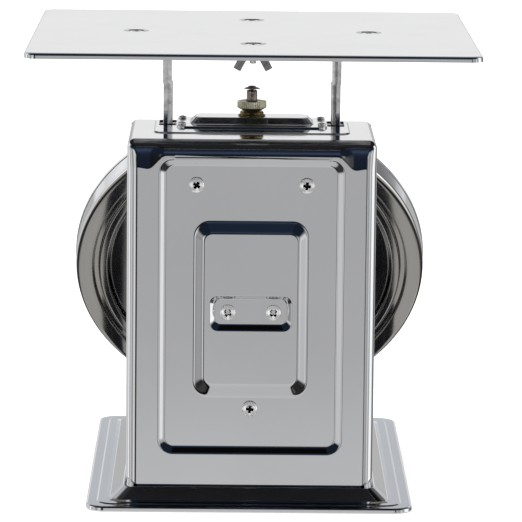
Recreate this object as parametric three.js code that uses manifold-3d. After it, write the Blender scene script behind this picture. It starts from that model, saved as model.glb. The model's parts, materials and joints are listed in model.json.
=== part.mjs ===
// Spring-dial platform scale: a polished sheet-steel wedge housing on a pressed base, a square
// weighing platform on two posts, and a round dial case on the sloping front.
// Millimetres, +Z up. The plain back of the housing faces -Y and the dial faces +Y.
// The origin is the centre of the footprint, on the surface that the scale stands on.
import * as THREE from 'three';
import { mergeVertices } from 'three/addons/utils/BufferGeometryUtils.js';
import Module from 'manifold-3d';

const wasm = await Module();
wasm.setup();

// ---------------------------------------------------------------- driving dimensions
const GAP = 0.3;                       // between pieces that touch
const SHEET = 1.2;                     // sheet thickness of every pressed part
const CORNER_STEPS = 5;                // facets in a pressed corner
const DIAL_SEGMENTS = 40;              // facets round the dial case

const BODY_HALF_W = 67;                // wedge housing
const BODY_BACK = -88;
const BODY_TOP = 198.4;
const BACK_BEND_R = 8.6;               // bend between back and top
const SIDE_BEND_R = 6;                 // vertical bends beside the back
const TOP_EDGE_R = 4;                  // bends beside the top

const DIAL_TILT = THREE.MathUtils.degToRad(30);
const DIAL_Y = 58.8;                   // dial centre, on the outside of the sloping front
const DIAL_Z = 104.4;
const CASE_R = 100;                    // dial case
const CASE_DEPTH = 13.4;
const DIAL_HOLE_R = 5.2;               // middle holes of the case and the dial plate
const DIAL_PLATE_R = 96;
const DIAL_PLATE_Z = 6;                // heights above the sloping front
const POINTER_Z = 8.4;
const POINTER_THICK = 0.8;
const GLASS_R = 94;
const GLASS_Z = 14;
const GLASS_THICK = 1.6;
const BEZEL_TOP = 17.8;

const BASE_TOP = 9.5;                  // pressed base
const BASE_FLANGE = 21;                // how far the base stands out all round the housing
const FOOT_FRONT = 115;                // front of the housing's footprint
const FOOT_R = 8;

const LOAD_Y = -16;                    // vertical centre plane of platform, posts and springs
const PLATE_HALF = 120;                // weighing platform
const PLATE_TOP = 249.9;
const PLATE_LIP = 3;
const DIMPLE_PITCH = 64;               // each platform screw from the centre
const DIMPLE_DEPTH = 2.3;
const POST_X = 46.7;
const POST_THICK = 4.8;
const POST_DEPTH = 16;
const POST_STEP = 22.3;                 // from a post's top end down to the step on its inner face
const POST_STEP_IN = 0.6;
const SPIDER_HALF_W = 9;               // half width of an arm
const SPIDER_TOP = PLATE_TOP - SHEET - DIMPLE_DEPTH - GAP;
const SPIDER_THICK = 1.8;
const STIRRUP_Z = 84;                  // underside of the stirrup bar between the posts
const STIRRUP_H = 8;
const TRAVEL = 16.3;                   // of the platform, no load to full load

const PANEL_DEPTH = 2.5;               // pressed steps in the back
const POCKET_DEPTH = 2.6;
const PRESSED_STEPS = [                // half width, low z, high z, corner radius, depth
  [52, 25.5, 189.7, 7, 0], [50, 27.3, 189, 8, 0], [45.8, 31.5, 184.6, 5, PANEL_DEPTH],
  [31, 58.5, 155, 8, PANEL_DEPTH], [25, 66, 147.8, 5, 0],
  [22.2, 95.2, 114.5, 5, 0], [19.6, 98.6, 112.3, 3.5, POCKET_DEPTH],
];
const FRAME_SCREW_TOP = { x: 29.6, z: 174.3 };
const FRAME_SCREW_LOW_Z = 52.3;
const DAMPER_SCREW = { x: 12.3, z: 105.1 };

const COVER_Z = BODY_TOP + GAP;        // cover plate round the zero adjuster
const COVER_T = 1;
const BOSS_H = 3.7;
const COVER_SCREW = { x: 38.4, y: 13.4 };
const COVER_SCREW_HOLE_R = 1.4;
const SLOT_HALF = { x: 4.7, y: 11.5 };
const SPINDLE_R = 3.1;
const SPINDLE_HOLE_R = 4.4;
const COLLAR_R = 7;
const NUT_R = 8.1;
const CAP_R = 4.6;                     // mushroom cap of the spindle

const PINION_R = 3;                    // pitch radius
const PINION_TEETH = 12;
const RACK_PLANE = -18;                // gear plane, behind the sloping front
const SPRING_X = 22;
const SPRING_R = 7;
const SPRING_WIRE = 1.1;
const HANGER_Z = 180;                  // underside of the bar that the springs hang from
const LINK_LENGTH = 58;
const LINK_PIVOT_Y = -74;
const LINK_UPPER_Z = 152;
const LINK_LOWER_Z = 91.8;
const LINK_X = 35.5;
const EAR_X = 29;
const DAMPER_Y = -66;
const DAMPER_Z = { low: 22, high: 66 };
const SHANK_R = 1.9;                   // rear and platform screws
const SHANK_HOLE_R = SHANK_R + GAP;
const THREAD_HOLE_R = 2.3;             // platform screw holes and the nuts on them
const PIVOT_R = 2;                     // link pins and the pinion's shaft
const PIVOT_BORE_R = PIVOT_R + GAP;
const STUD_R = 1.6;

// ---------------------------------------------------------------- materials
const finish = (color, roughness, metalness) =>
  () => new THREE.MeshStandardMaterial({ color, roughness, metalness });
const STAINLESS = finish(0xc9ccd0, 0.12, 1);
const ZINC = finish(0xa9acae, 0.4, 1);
const BRASS = finish(0xd8c98a, 0.35, 1);
const BRONZE = finish(0x5a4332, 0.4, 1);
const SPRING_STEEL = finish(0x8a8d92, 0.3, 1);
const WHITE_ENAMEL = finish(0xf4f4f0, 0.5, 0);
const RED_PAINT = finish(0xb3201c, 0.45, 0);
const BLACK_RUBBER = finish(0x1c1c1c, 0.85, 0);
const CLEAR_GLASS = finish(0xe8f0f0, 0.05, 0);

// ---------------------------------------------------------------- geometry helpers
function toManifold(geometry) {
  const bare = geometry.clone();
  bare.deleteAttribute('normal');
  bare.deleteAttribute('uv');
  const merged = mergeVertices(bare, 1e-4);
  return new wasm.Manifold(new wasm.Mesh({
    numProp: 3,
    vertProperties: new Float32Array(merged.attributes.position.array),
    triVerts: new Uint32Array(merged.index.array),
  }));
}

function toGeometry(manifold) {
  const mesh = manifold.getMesh();
  const geometry = new THREE.BufferGeometry();
  geometry.setAttribute('position', new THREE.BufferAttribute(mesh.vertProperties, 3));
  geometry.setIndex(new THREE.BufferAttribute(mesh.triVerts, 1));
  return geometry;
}

const join = (first, ...others) =>
  toGeometry(others.reduce((sum, g) => sum.add(toManifold(g)), toManifold(first)));
const cut = (first, ...others) =>
  toGeometry(others.reduce((rest, g) => rest.subtract(toManifold(g)), toManifold(first)));
const common = (first, ...others) =>
  toGeometry(others.reduce((both, g) => both.intersect(toManifold(g)), toManifold(first)));

// A box given by its lowest and highest corners.
function block(low, high) {
  const size = high.map((h, i) => h - low[i]);
  return new THREE.BoxGeometry(...size)
    .translate(...low.map((l, i) => l + size[i] / 2));
}

// A cylinder along +Z from z0 to z1.
function rod(radius, z0, z1, segments = 16) {
  return new THREE.CylinderGeometry(radius, radius, z1 - z0, segments)
    .rotateX(Math.PI / 2)
    .translate(0, 0, (z0 + z1) / 2);
}

// A body turned about +Z: each profile point is [radius, z]. The profile ends on the axis or,
// where it doesn't, is closed on itself.
function turned(profile, segments = 24) {
  const points = profile.map(([r, z]) => new THREE.Vector2(r, z));
  const onAxis = profile[0][0] === 0 && profile[profile.length - 1][0] === 0;
  if (!onAxis) points.push(points[0].clone());
  const geometry = new THREE.LatheGeometry(points, segments).rotateX(Math.PI / 2);
  const area = profile.reduce((sum, [r, z], i) => {
    const [r2, z2] = profile[(i + 1) % profile.length];
    return sum + r * z2 - r2 * z;
  }, 0);
  return area > 0 ? geometry : flipped(geometry);
}

function flipped(geometry) {
  const index = geometry.index.array;
  for (let i = 0; i < index.length; i += 3) {
    const second = index[i + 1];
    index[i + 1] = index[i + 2];
    index[i + 2] = second;
  }
  return geometry;
}

// The points of a rounded rectangle, anticlockwise, with the same number for every rectangle.
function roundedRect(x0, x1, y0, y1, radius) {
  const centres = [[x1 - radius, y0 + radius, -90], [x1 - radius, y1 - radius, 0],
    [x0 + radius, y1 - radius, 90], [x0 + radius, y0 + radius, 180]];
  return centres.flatMap(([cx, cy, from]) =>
    Array.from({ length: CORNER_STEPS + 1 }, (_, i) => {
      const angle = THREE.MathUtils.degToRad(from + 90 * i / CORNER_STEPS);
      return new THREE.Vector2(cx + radius * Math.cos(angle), cy + radius * Math.sin(angle));
    }));
}

function extruded(points, length) {
  return new THREE.ExtrudeGeometry(new THREE.Shape(points), { depth: length, bevelEnabled: false });
}

// A closed skin through rings of equal point count; the first and last rings are capped flat.
function loft(rings) {
  const count = rings[0].length;
  const positions = rings.flatMap(ring => ring.flatMap(p => p.toArray()));
  const index = [];
  for (let i = 1; i < count - 1; i += 1) index.push(0, i + 1, i);
  for (let r = 0; r < rings.length - 1; r += 1) {
    for (let i = 0; i < count; i += 1) {
      const a = r * count + i;
      const b = r * count + (i + 1) % count;
      index.push(a, b, a + count, b, b + count, a + count);
    }
  }
  const last = (rings.length - 1) * count;
  for (let i = 1; i < count - 1; i += 1) index.push(last, last + i, last + i + 1);
  const geometry = new THREE.BufferGeometry();
  geometry.setAttribute('position', new THREE.Float32BufferAttribute(positions, 3));
  geometry.setIndex(index);
  return toManifold(geometry).volume() > 0 ? geometry : flipped(geometry);
}

// A level ring for a loft.
const levelRing = (points, z) => points.map(p => new THREE.Vector3(p.x, p.y, z));

// Dial frame: x to the right as seen from the dial side, y up the slope, z out of the dial.
const DIAL_FRAME = new THREE.Matrix4().makeBasis(
  new THREE.Vector3(-1, 0, 0),
  new THREE.Vector3(0, -Math.sin(DIAL_TILT), Math.cos(DIAL_TILT)),
  new THREE.Vector3(0, Math.cos(DIAL_TILT), Math.sin(DIAL_TILT)),
).setPosition(0, DIAL_Y, DIAL_Z);

// Y of a plane parallel to the sloping front, `out` in front of it, at a given height.
const slopeY = (z, out = 0) => DIAL_Y + (DIAL_Z - z) * Math.tan(DIAL_TILT) + out / Math.cos(DIAL_TILT);

// ---------------------------------------------------------------- base
function basePlate() {
  const ring = (offset, z, radius) => levelRing(roundedRect(
    -BODY_HALF_W - offset, BODY_HALF_W + offset,
    BODY_BACK - offset, FOOT_FRONT + offset, radius), z);
  const under = BASE_TOP - SHEET;
  return loft([
    ring(-3, under, 5), ring(0.6, under, 6), ring(8.3, 1.6, 8), ring(BASE_FLANGE - 1.2, 1.6, 9),
    ring(BASE_FLANGE - 1.2, 0.5, 9), ring(BASE_FLANGE, 0.5, 10), ring(BASE_FLANGE, 1.9, 10),
    ring(BASE_FLANGE - 0.9, 2.8, 9.4), ring(9, 2.8, 8), ring(1, BASE_TOP, 6), ring(-3, BASE_TOP, 5),
  ]);
}

function rubberFoot() {
  return turned([[0, 0], [FOOT_R - 1, 0], [FOOT_R, 1], [FOOT_R - 1, 8], [0, 8]], 16);
}

// ---------------------------------------------------------------- housing
// The solid wedge, `inset` inside the outer skin. The cavity runs out of the bottom and front.
function wedge(inset, openEnds) {
  const back = BODY_BACK + inset;
  const top = BODY_TOP - inset;
  const bend = BACK_BEND_R - inset;
  const bottom = openEnds ? -5 : BASE_TOP + GAP;
  const front = openEnds ? 20 : -SHEET - GAP;
  const lipZ = BODY_TOP - SHEET;
  const profile = [new THREE.Vector2(back, bottom)];
  for (let i = CORNER_STEPS + 1; i >= 0; i -= 1) {
    const angle = Math.PI / 2 * (1 + i / (CORNER_STEPS + 1));
    profile.push(new THREE.Vector2(
      back + bend + bend * Math.cos(angle), top - bend + bend * Math.sin(angle)));
  }
  if (openEnds) {
    profile.push(new THREE.Vector2(slopeY(top, front), top));
  } else {
    profile.push(new THREE.Vector2(slopeY(top), top), new THREE.Vector2(slopeY(lipZ), lipZ));
    profile.push(new THREE.Vector2(slopeY(lipZ, front), lipZ));
  }
  profile.push(new THREE.Vector2(slopeY(bottom, front), bottom));
  profile.reverse();

  const half = BODY_HALF_W - inset;
  const length = 400;
  // x, y of the profile become Y, Z; the extrusion runs along X.
  const alongX = new THREE.Matrix4().makeBasis(
    new THREE.Vector3(0, 1, 0), new THREE.Vector3(0, 0, 1), new THREE.Vector3(1, 0, 0));
  const side = extruded(profile, 2 * half).translate(0, 0, -half).applyMatrix4(alongX);
  const plan = extruded(roundedRect(-half, half, back, length, SIDE_BEND_R - inset), length)
    .translate(0, 0, -10);
  const frontView = extruded(roundedRect(-half, half, -100, top, TOP_EDGE_R - inset), length)
    .rotateX(Math.PI / 2).translate(0, 200, 0);
  return common(side, plan, frontView);
}

// The pressed back: an outer rectangle pushed in, an inner one left standing, and a pocket.
function pressedBack() {
  const ring = ([half, z0, z1, radius, depth], through) =>
    roundedRect(-half, half, z0, z1, radius)
      .map(p => new THREE.Vector3(p.x, BODY_BACK + depth + through, p.y));
  const outside = PRESSED_STEPS.map(step => ring(step, 0));
  const inside = PRESSED_STEPS.map(step => ring(step, SHEET));
  return loft([...outside.reverse(), ...inside]);
}

function rearScrewPlaces() {
  return [
    { name: 'frame_screw_1', x: -FRAME_SCREW_TOP.x, z: FRAME_SCREW_TOP.z, depth: PANEL_DEPTH },
    { name: 'frame_screw_2', x: FRAME_SCREW_TOP.x, z: FRAME_SCREW_TOP.z, depth: PANEL_DEPTH },
    { name: 'frame_screw_3', x: 0, z: FRAME_SCREW_LOW_Z, depth: PANEL_DEPTH },
    { name: 'damper_screw_1', x: -DAMPER_SCREW.x, z: DAMPER_SCREW.z, depth: POCKET_DEPTH },
    { name: 'damper_screw_2', x: DAMPER_SCREW.x, z: DAMPER_SCREW.z, depth: POCKET_DEPTH },
  ];
}

function rearHousing() {
  const window = extruded(roundedRect(-51.5, 51.5, 26, 189.2, 6.5), 10)
    .rotateX(Math.PI / 2).translate(0, BODY_BACK + 5, 0);
  const shell = cut(wedge(0, false), wedge(SHEET, true), window);
  const slots = [-POST_X, POST_X].map(x => block(
    [x - SLOT_HALF.x, LOAD_Y - SLOT_HALF.y, BODY_TOP - 5],
    [x + SLOT_HALF.x, LOAD_Y + SLOT_HALF.y, BODY_TOP + 5]));
  const spindleHole = rod(SPINDLE_HOLE_R, BODY_TOP - 5, BODY_TOP + 5).translate(0, LOAD_Y, 0);
  const coverHoles = coverScrewPlaces().map(([x, y]) =>
    rod(COVER_SCREW_HOLE_R, BODY_TOP - 5, BODY_TOP + 5, 8).translate(x, y, 0));
  const backHoles = rearScrewPlaces().map(({ x, z }) =>
    rod(SHANK_HOLE_R, -10, 10, 10).rotateX(Math.PI / 2).translate(x, BODY_BACK, z));
  return cut(join(shell, pressedBack()), ...slots, spindleHole, ...coverHoles, ...backHoles);
}

function frontPanel() {
  const plate = block([-BODY_HALF_W, -108, -SHEET], [BODY_HALF_W, 106, 0]);
  return cut(plate, rod(5, -5, 5, 20));
}

// ---------------------------------------------------------------- screws
// A pan-head screw pointing along -Z, its head standing on z = 0, with a cross recess.
function panScrew(headR, headH, shankR, shankLength, segments = 12) {
  const body = turned([[0, -shankLength], [shankR * 0.7, -shankLength],
    [shankR, -shankLength + shankR * 0.4], [shankR, 0], [headR, 0], [headR, headH * 0.45],
    [headR * 0.72, headH * 0.88], [0, headH]], segments);
  const arm = headR * 0.62;
  const blade = headR * 0.14;
  return cut(body,
    block([-arm, -blade, headH * 0.4], [arm, blade, headH * 2]),
    block([-blade, -arm, headH * 0.4], [blade, arm, headH * 2]));
}

// A countersunk screw pointing along -Z with its flat head at z = 0.
function countersunkScrew(headR, shankR, length) {
  const body = turned([[0, -length], [shankR * 0.7, -length], [shankR, -length + 0.8],
    [shankR, -1.3], [headR, -0.4], [headR, 0], [0, 0]], 12);
  const arm = headR * 0.62;
  const blade = headR * 0.14;
  return cut(body,
    block([-arm, -blade, -0.8], [arm, blade, 1]), block([-blade, -arm, -0.8], [blade, arm, 1]));
}

// ---------------------------------------------------------------- cover and zero adjuster
function coverScrewPlaces() {
  return [[-1, -1], [1, -1], [1, 1], [-1, 1]]
    .map(([sx, sy]) => [sx * COVER_SCREW.x, LOAD_Y + sy * COVER_SCREW.y]);
}

function adjusterCover() {
  const ring = (halfX, halfY, radius, z) => levelRing(
    roundedRect(-halfX, halfX, LOAD_Y - halfY, LOAD_Y + halfY, radius), z);
  const bossTop = COVER_Z + COVER_T + BOSS_H;
  const skin = loft([
    ring(28, 9, 4, bossTop - COVER_T), ring(33, 12, 5, COVER_Z), ring(41.2, 22, 5, COVER_Z),
    ring(41.2, 22, 5, COVER_Z + COVER_T), ring(34.2, 13.4, 6, COVER_Z + COVER_T),
    ring(30.3, 11, 5, bossTop), ring(28, 9, 4, bossTop),
  ]);
  const spindleHole = rod(SPINDLE_HOLE_R, COVER_Z - 5, COVER_Z + 15).translate(0, LOAD_Y, 0);
  const screwHoles = coverScrewPlaces().map(([x, y]) =>
    rod(COVER_SCREW_HOLE_R, COVER_Z - 5, COVER_Z + 5, 8).translate(x, y, 0));
  return cut(skin, spindleHole, ...screwHoles);
}

const BOSS_TOP = COVER_Z + COVER_T + BOSS_H;
const COLLAR_TOP = BOSS_TOP + GAP + 2.2;
const NUT_TOP = COLLAR_TOP + GAP + 5.4;

function adjusterCollar() {
  const z = BOSS_TOP + GAP;
  return turned([[SPINDLE_R + GAP, z], [COLLAR_R + 0.6, z], [COLLAR_R, z + 0.8],
    [COLLAR_R, COLLAR_TOP - 0.4], [COLLAR_R - 0.6, COLLAR_TOP], [SPINDLE_R + GAP, COLLAR_TOP]], 20);
}

function adjusterNut() {
  const z = COLLAR_TOP + GAP;
  return turned([[SPINDLE_R + GAP, z], [5.2, z], [NUT_R, z + 1.5], [NUT_R, NUT_TOP - 0.4],
    [NUT_R - 0.4, NUT_TOP], [SPINDLE_R + GAP, NUT_TOP]], 24);
}

// Spindle with its mushroom cap; its lower end carries the spring hanger.
function adjusterSpindle() {
  const shoulder = NUT_TOP + 6.1;
  return turned([[0, HANGER_Z + 6.3], [SPINDLE_R, HANGER_Z + 6.3], [SPINDLE_R, shoulder - 1],
    [SPINDLE_R - 1, shoulder], [0.9, shoulder], [0.9, shoulder + 0.7], [CAP_R, shoulder + 0.5],
    [CAP_R - 0.2, shoulder + 0.9], [2.4, shoulder + 2], [0, shoulder + 2.3]], 16);
}

function springHanger() {
  return block([-SPRING_X - 8, LOAD_Y - 5, HANGER_Z], [SPRING_X + 8, LOAD_Y + 5, HANGER_Z + 6]);
}

// A coil spring along Z, hung between the hanger and the stirrup.
class Coil extends THREE.Curve {
  constructor(radius, z0, z1, turns) {
    super();
    Object.assign(this, { radius, z0, z1, turns });
  }

  getPoint(t, target = new THREE.Vector3()) {
    const angle = 2 * Math.PI * this.turns * t;
    return target.set(this.radius * Math.cos(angle), this.radius * Math.sin(angle),
      this.z0 + (this.z1 - this.z0) * t);
  }
}

function spring() {
  const turns = 7;
  const low = STIRRUP_Z + STIRRUP_H + GAP + SPRING_WIRE;
  const high = HANGER_Z - GAP - SPRING_WIRE;
  const section = new THREE.Shape(new THREE.Path()
    .absarc(0, 0, SPRING_WIRE, 0, 2 * Math.PI).getSpacedPoints(5).slice(0, -1));
  return new THREE.ExtrudeGeometry(section,
    { steps: turns * 9, extrudePath: new Coil(SPRING_R, low, high, turns) });
}

// ---------------------------------------------------------------- platform and posts
function platformScrewPlaces() {
  return [[0, -1], [1, 0], [0, 1], [-1, 0]]
    .map(([sx, sy]) => [sx * DIMPLE_PITCH, LOAD_Y + sy * DIMPLE_PITCH]);
}

function platform() {
  const ring = (inset, z, radius) => levelRing(roundedRect(
    -PLATE_HALF + inset, PLATE_HALF - inset,
    LOAD_Y - PLATE_HALF + inset, LOAD_Y + PLATE_HALF - inset, radius), z);
  const lip = PLATE_TOP - PLATE_LIP;
  const skin = loft([
    ring(12, PLATE_TOP - SHEET, 2), ring(1.8, PLATE_TOP - SHEET, 5), ring(1.1, PLATE_TOP - 1.9, 5.6),
    ring(1.1, lip, 5.6), ring(0, lip, 6.7), ring(0, PLATE_TOP - 1.5, 6.7),
    ring(0.5, PLATE_TOP - 0.4, 6.2), ring(1.7, PLATE_TOP, 5.2), ring(12, PLATE_TOP, 2),
  ]);
  const segments = 16;
  const dish = (top, bottom, z) => new THREE.CylinderGeometry(top, bottom, DIMPLE_DEPTH, segments)
    .rotateX(Math.PI / 2).translate(0, 0, z - DIMPLE_DEPTH / 2);
  const at = (geometry, [x, y]) => geometry.clone().translate(x, y, 0);
  const places = platformScrewPlaces();
  const dents = places.map(place => at(dish(7.3, 4.6, PLATE_TOP - SHEET), place));
  const hollows = places.map(place => at(dish(7.3, 4.6, PLATE_TOP), place));
  const holes = places.map(place => at(rod(THREAD_HOLE_R, PLATE_TOP - 10, PLATE_TOP + 5, segments), place));
  return cut(join(skin, ...dents), ...hollows, ...holes);
}

// Cross-shaped carrier under the platform.
function spider() {
  const z0 = SPIDER_TOP - SPIDER_THICK;
  const half = SPIDER_HALF_W;
  const reach = DIMPLE_PITCH + half;
  const arms = join(
    block([-reach, LOAD_Y - half, z0], [reach, LOAD_Y + half, SPIDER_TOP]),
    block([-half, LOAD_Y - reach, z0], [half, LOAD_Y + reach, SPIDER_TOP]));
  return cut(arms, ...platformScrewPlaces().map(([x, y]) =>
    rod(THREAD_HOLE_R, z0 - 5, SPIDER_TOP + 5, 12).translate(x, y, 0)));
}

// Wing nut with its boss up and its two flat wings hanging down and outwards.
function wingNut() {
  const boss = turned([[THREAD_HOLE_R, 0], [5, 0], [4.6, -2.3], [THREAD_HOLE_R, -2.3]], 14);
  const wing = side => block([-2.1, -0.9, -9], [2.1, 0.9, 1])
    .rotateY(-side * THREE.MathUtils.degToRad(28)).translate(side * 4.4, 0, 0);
  const trim = block([-20, -5, 0], [20, 5, 5]);
  const bore = rod(THREAD_HOLE_R, -20, 5, 14);
  return cut(join(boss, wing(-1), wing(1)), trim, bore);
}

// Flat post, stepped on its inner side; it runs down through the housing top to the stirrup.
function post(side) {
  const top = SPIDER_TOP - SPIDER_THICK - GAP;
  const outer = POST_X + POST_THICK / 2;
  const inner = POST_X - POST_THICK / 2;
  const y0 = LOAD_Y - POST_DEPTH / 2;
  const y1 = LOAD_Y + POST_DEPTH / 2;
  const bar = join(
    block([inner, y0, STIRRUP_Z], [outer, y1, top]),
    block([inner - POST_STEP_IN, y0, STIRRUP_Z], [outer - 1, y1, top - POST_STEP]),
    block([inner - 1.6, y0, top - 2.5], [outer, y1, top]));
  return side > 0 ? bar : bar.rotateZ(Math.PI).translate(0, 2 * LOAD_Y, 0);
}

const ARM_X = { low: -14, high: -10 };               // stirrup's forward arm, beside the rack
const PIN_V = -15;                                   // rack pin, down the slope from the pinion
const slopePoint = (v, out) => [
  DIAL_Y - v * Math.sin(DIAL_TILT) + out * Math.cos(DIAL_TILT),
  DIAL_Z + v * Math.cos(DIAL_TILT) + out * Math.sin(DIAL_TILT)];

// Bar between the posts, with an arm forward to the rack and one back to the damper.
function stirrup() {
  const inner = POST_X - POST_THICK / 2 - POST_STEP_IN - GAP;
  const [pinY, pinZ] = slopePoint(PIN_V, RACK_PLANE);
  const bar = block([-inner, LOAD_Y - 7, STIRRUP_Z], [inner, LOAD_Y + 7, STIRRUP_Z + STIRRUP_H]);
  const arm = block([ARM_X.low, LOAD_Y, pinZ - 3.5], [ARM_X.high, pinY + 14, pinZ + 3.5]);
  const slot = block([ARM_X.low - 1, pinY - 2.4, pinZ - 1.8], [ARM_X.high + 1, pinY + 11.8, pinZ + 1.8]);
  const heel = block([-4, DAMPER_Y - 4, STIRRUP_Z + 2], [4, LOAD_Y, STIRRUP_Z + 6]);
  const rodHole = rod(1.8, STIRRUP_Z - 5, STIRRUP_Z + 15, 12).translate(0, DAMPER_Y, 0);
  return cut(join(bar, arm, heel), slot, rodHole);
}

// ---------------------------------------------------------------- damper
function damperCylinder() {
  const cup = turned([[0, DAMPER_Z.low], [12, DAMPER_Z.low], [12, DAMPER_Z.high],
    [10.8, DAMPER_Z.high], [10.8, DAMPER_Z.low + 1.5], [0, DAMPER_Z.low + 1.5]], 20)
    .translate(0, DAMPER_Y, 0);
  const face = BODY_BACK + POCKET_DEPTH + SHEET + GAP;
  const strap = join(
    block([-17, face, 96], [17, face + 2, 112]),
    block([-8, face, 62], [8, face + 2, 98]),
    block([-8, face, 62], [8, DAMPER_Y - 11.4, 66]));
  const holes = [-1, 1].map(side => rod(SHANK_HOLE_R, -10, 10, 10).rotateX(Math.PI / 2)
    .translate(side * DAMPER_SCREW.x, face, DAMPER_SCREW.z));
  return cut(join(cup, strap), ...holes);
}

function damperPiston() {
  const z = DAMPER_Z.low + TRAVEL + 6;
  return turned([[0, z], [10.3, z], [10.3, z + 3], [1.5, z + 3], [1.5, STIRRUP_Z + 8],
    [0, STIRRUP_Z + 8]], 16).translate(0, DAMPER_Y, 0);
}

// ---------------------------------------------------------------- inner brackets and links
const BRACKET_Y = BODY_BACK + PANEL_DEPTH + SHEET + GAP;

// Two ears for a link pin, joined to the plates of a bracket behind the pressed back.
function bracket(plates, pivotZ, screws) {
  const ears = [-1, 1].map(side => block([side * EAR_X - 1, BRACKET_Y, pivotZ - 5],
    [side * EAR_X + 1, LINK_PIVOT_Y + 5, pivotZ + 5]));
  const sheets = plates.map(([x0, x1, z0, z1]) => block([x0, BRACKET_Y, z0], [x1, BRACKET_Y + 2, z1]));
  const holes = screws.map(([x, z]) =>
    rod(SHANK_HOLE_R, -10, 10, 10).rotateX(Math.PI / 2).translate(x, BRACKET_Y, z));
  const bore = rod(PIVOT_BORE_R, -50, 50, 12).rotateY(Math.PI / 2).translate(0, LINK_PIVOT_Y, pivotZ);
  return cut(join(...sheets, ...ears), ...holes, bore);
}

function linkPin(z) {
  return rod(PIVOT_R, -LINK_X - 4, LINK_X + 4, 10).rotateY(Math.PI / 2).translate(0, LINK_PIVOT_Y, z);
}

// Check link: a flat arm from the bracket's pin to the pin on a post, level at half travel.
function checkLink(side, pivotZ) {
  const arm = block([-1.5, 0, -3], [1.5, LINK_LENGTH, 3]);
  const eye = y => rod(4.2, -1.5, 1.5, 14).rotateY(Math.PI / 2).translate(0, y, 0);
  const bore = rod(PIVOT_BORE_R, -5, 5, 12).rotateY(Math.PI / 2);
  const slot = block([-5, LINK_LENGTH - 2.6, -STUD_R - 0.5], [5, LINK_LENGTH + 2.6, STUD_R + 0.5]);
  return cut(join(arm, eye(0), eye(LINK_LENGTH)), bore, slot)
    .rotateX(Math.asin(TRAVEL / 2 / LINK_LENGTH))
    .translate(side * LINK_X, LINK_PIVOT_Y, pivotZ);
}

// Stud on the inner face of a post that the check link's slot runs on.
function linkStud(side, pivotZ) {
  const y = LINK_PIVOT_Y + LINK_LENGTH * Math.cos(Math.asin(TRAVEL / 2 / LINK_LENGTH));
  const from = LINK_X - 2.5;
  const to = POST_X - POST_THICK / 2 - POST_STEP_IN - GAP;
  return rod(STUD_R, from, to, 10).rotateY(side * Math.PI / 2)
    .translate(0, y, pivotZ + TRAVEL / 2);
}

// ---------------------------------------------------------------- dial gear train
// Bridge behind the sloping front that carries the pinion's rear bearing.
function dialBridge() {
  const back = RACK_PLANE - 9;
  const foot = -SHEET - GAP;
  const body = join(
    block([-17, -5, back], [17, 8, back + 2]),
    block([15, -5, back], [17, 8, foot]),
    block([15, -8, foot - 2], [26, 8, foot]),
    block([-17, 2, back], [-15, 8, foot]),
    block([-26, 2, foot - 2], [-15, 8, foot]));
  return cut(body, rod(PIVOT_BORE_R, back - 5, back + 5, 12));
}

function pinionBush() {
  return turned([[PIVOT_BORE_R, -SHEET - 2.5], [4.6, -SHEET - 2.5], [4.6, 3], [PIVOT_BORE_R, 3]], 16);
}

function pinion() {
  const outline = Array.from({ length: PINION_TEETH * 4 }, (_, i) => {
    const radius = i % 4 < 2 ? PINION_R + 0.4 : PINION_R - 0.65;
    const angle = 2 * Math.PI * (i + (i % 2 ? -0.22 : 0.22) * (i % 4 < 2 ? 1 : -1) - 0.5)
      / (PINION_TEETH * 4);
    return new THREE.Vector2(radius * Math.cos(angle), radius * Math.sin(angle));
  });
  const gear = extruded(outline, 6).translate(0, 0, RACK_PLANE - 3);
  return join(gear, rod(PIVOT_R, RACK_PLANE - 10, POINTER_Z + 2, 12));
}

// Rack beside the pinion, its teeth towards -x, with the pin that the stirrup's arm drives.
function rack() {
  const pitch = 2 * Math.PI * PINION_R / PINION_TEETH;
  const toothCount = 16;
  const first = -4;
  const half = pitch / 2;
  const root = PINION_R + 0.75;
  const tip = PINION_R - 0.3;
  const outline = [new THREE.Vector2(root + 4, PIN_V - 3), new THREE.Vector2(root + 4, 24)];
  outline.push(new THREE.Vector2(root, 24));
  for (let i = toothCount + first - 1; i >= first; i -= 1) {
    const y = (i + 0.5) * pitch;
    outline.push(new THREE.Vector2(root, y + half * 0.62), new THREE.Vector2(tip, y + half * 0.2));
    outline.push(new THREE.Vector2(tip, y - half * 0.2), new THREE.Vector2(root, y - half * 0.62));
  }
  outline.push(new THREE.Vector2(root, PIN_V - 3));
  const bar = extruded(outline, 4).translate(0, 0, RACK_PLANE - 2);
  const pin = rod(1.3, 0, -ARM_X.low + 1.5 - root - 1, 10).rotateY(Math.PI / 2)
    .translate(root + 1, PIN_V, RACK_PLANE);
  return join(bar, pin);
}

// ---------------------------------------------------------------- dial case
// Pan-shaped case: flat rim, groove and raised ring on its back, deeper middle.
function dialCase() {
  const outside = [[DIAL_HOLE_R, GAP], [44, GAP], [48, 3], [80.5, 3], [82, 0.9], [86.3, 0.9], [87, 2.2],
    [89.6, 2.2], [90.4, GAP], [98.6, GAP], [CASE_R, 1.6], [CASE_R, CASE_DEPTH]];
  const inside = [[CASE_R - SHEET, CASE_DEPTH], [CASE_R - SHEET, 2.4], [97.8, GAP + SHEET],
    [91.3, GAP + SHEET], [90.4, 2.2 + SHEET], [86.4, 2.2 + SHEET], [85.6, 0.9 + SHEET],
    [83, 0.9 + SHEET], [81.4, 3 + SHEET], [47.2, 3 + SHEET], [43.2, GAP + SHEET],
    [DIAL_HOLE_R, GAP + SHEET]];
  return turned([...outside, ...inside], DIAL_SEGMENTS);
}

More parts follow.
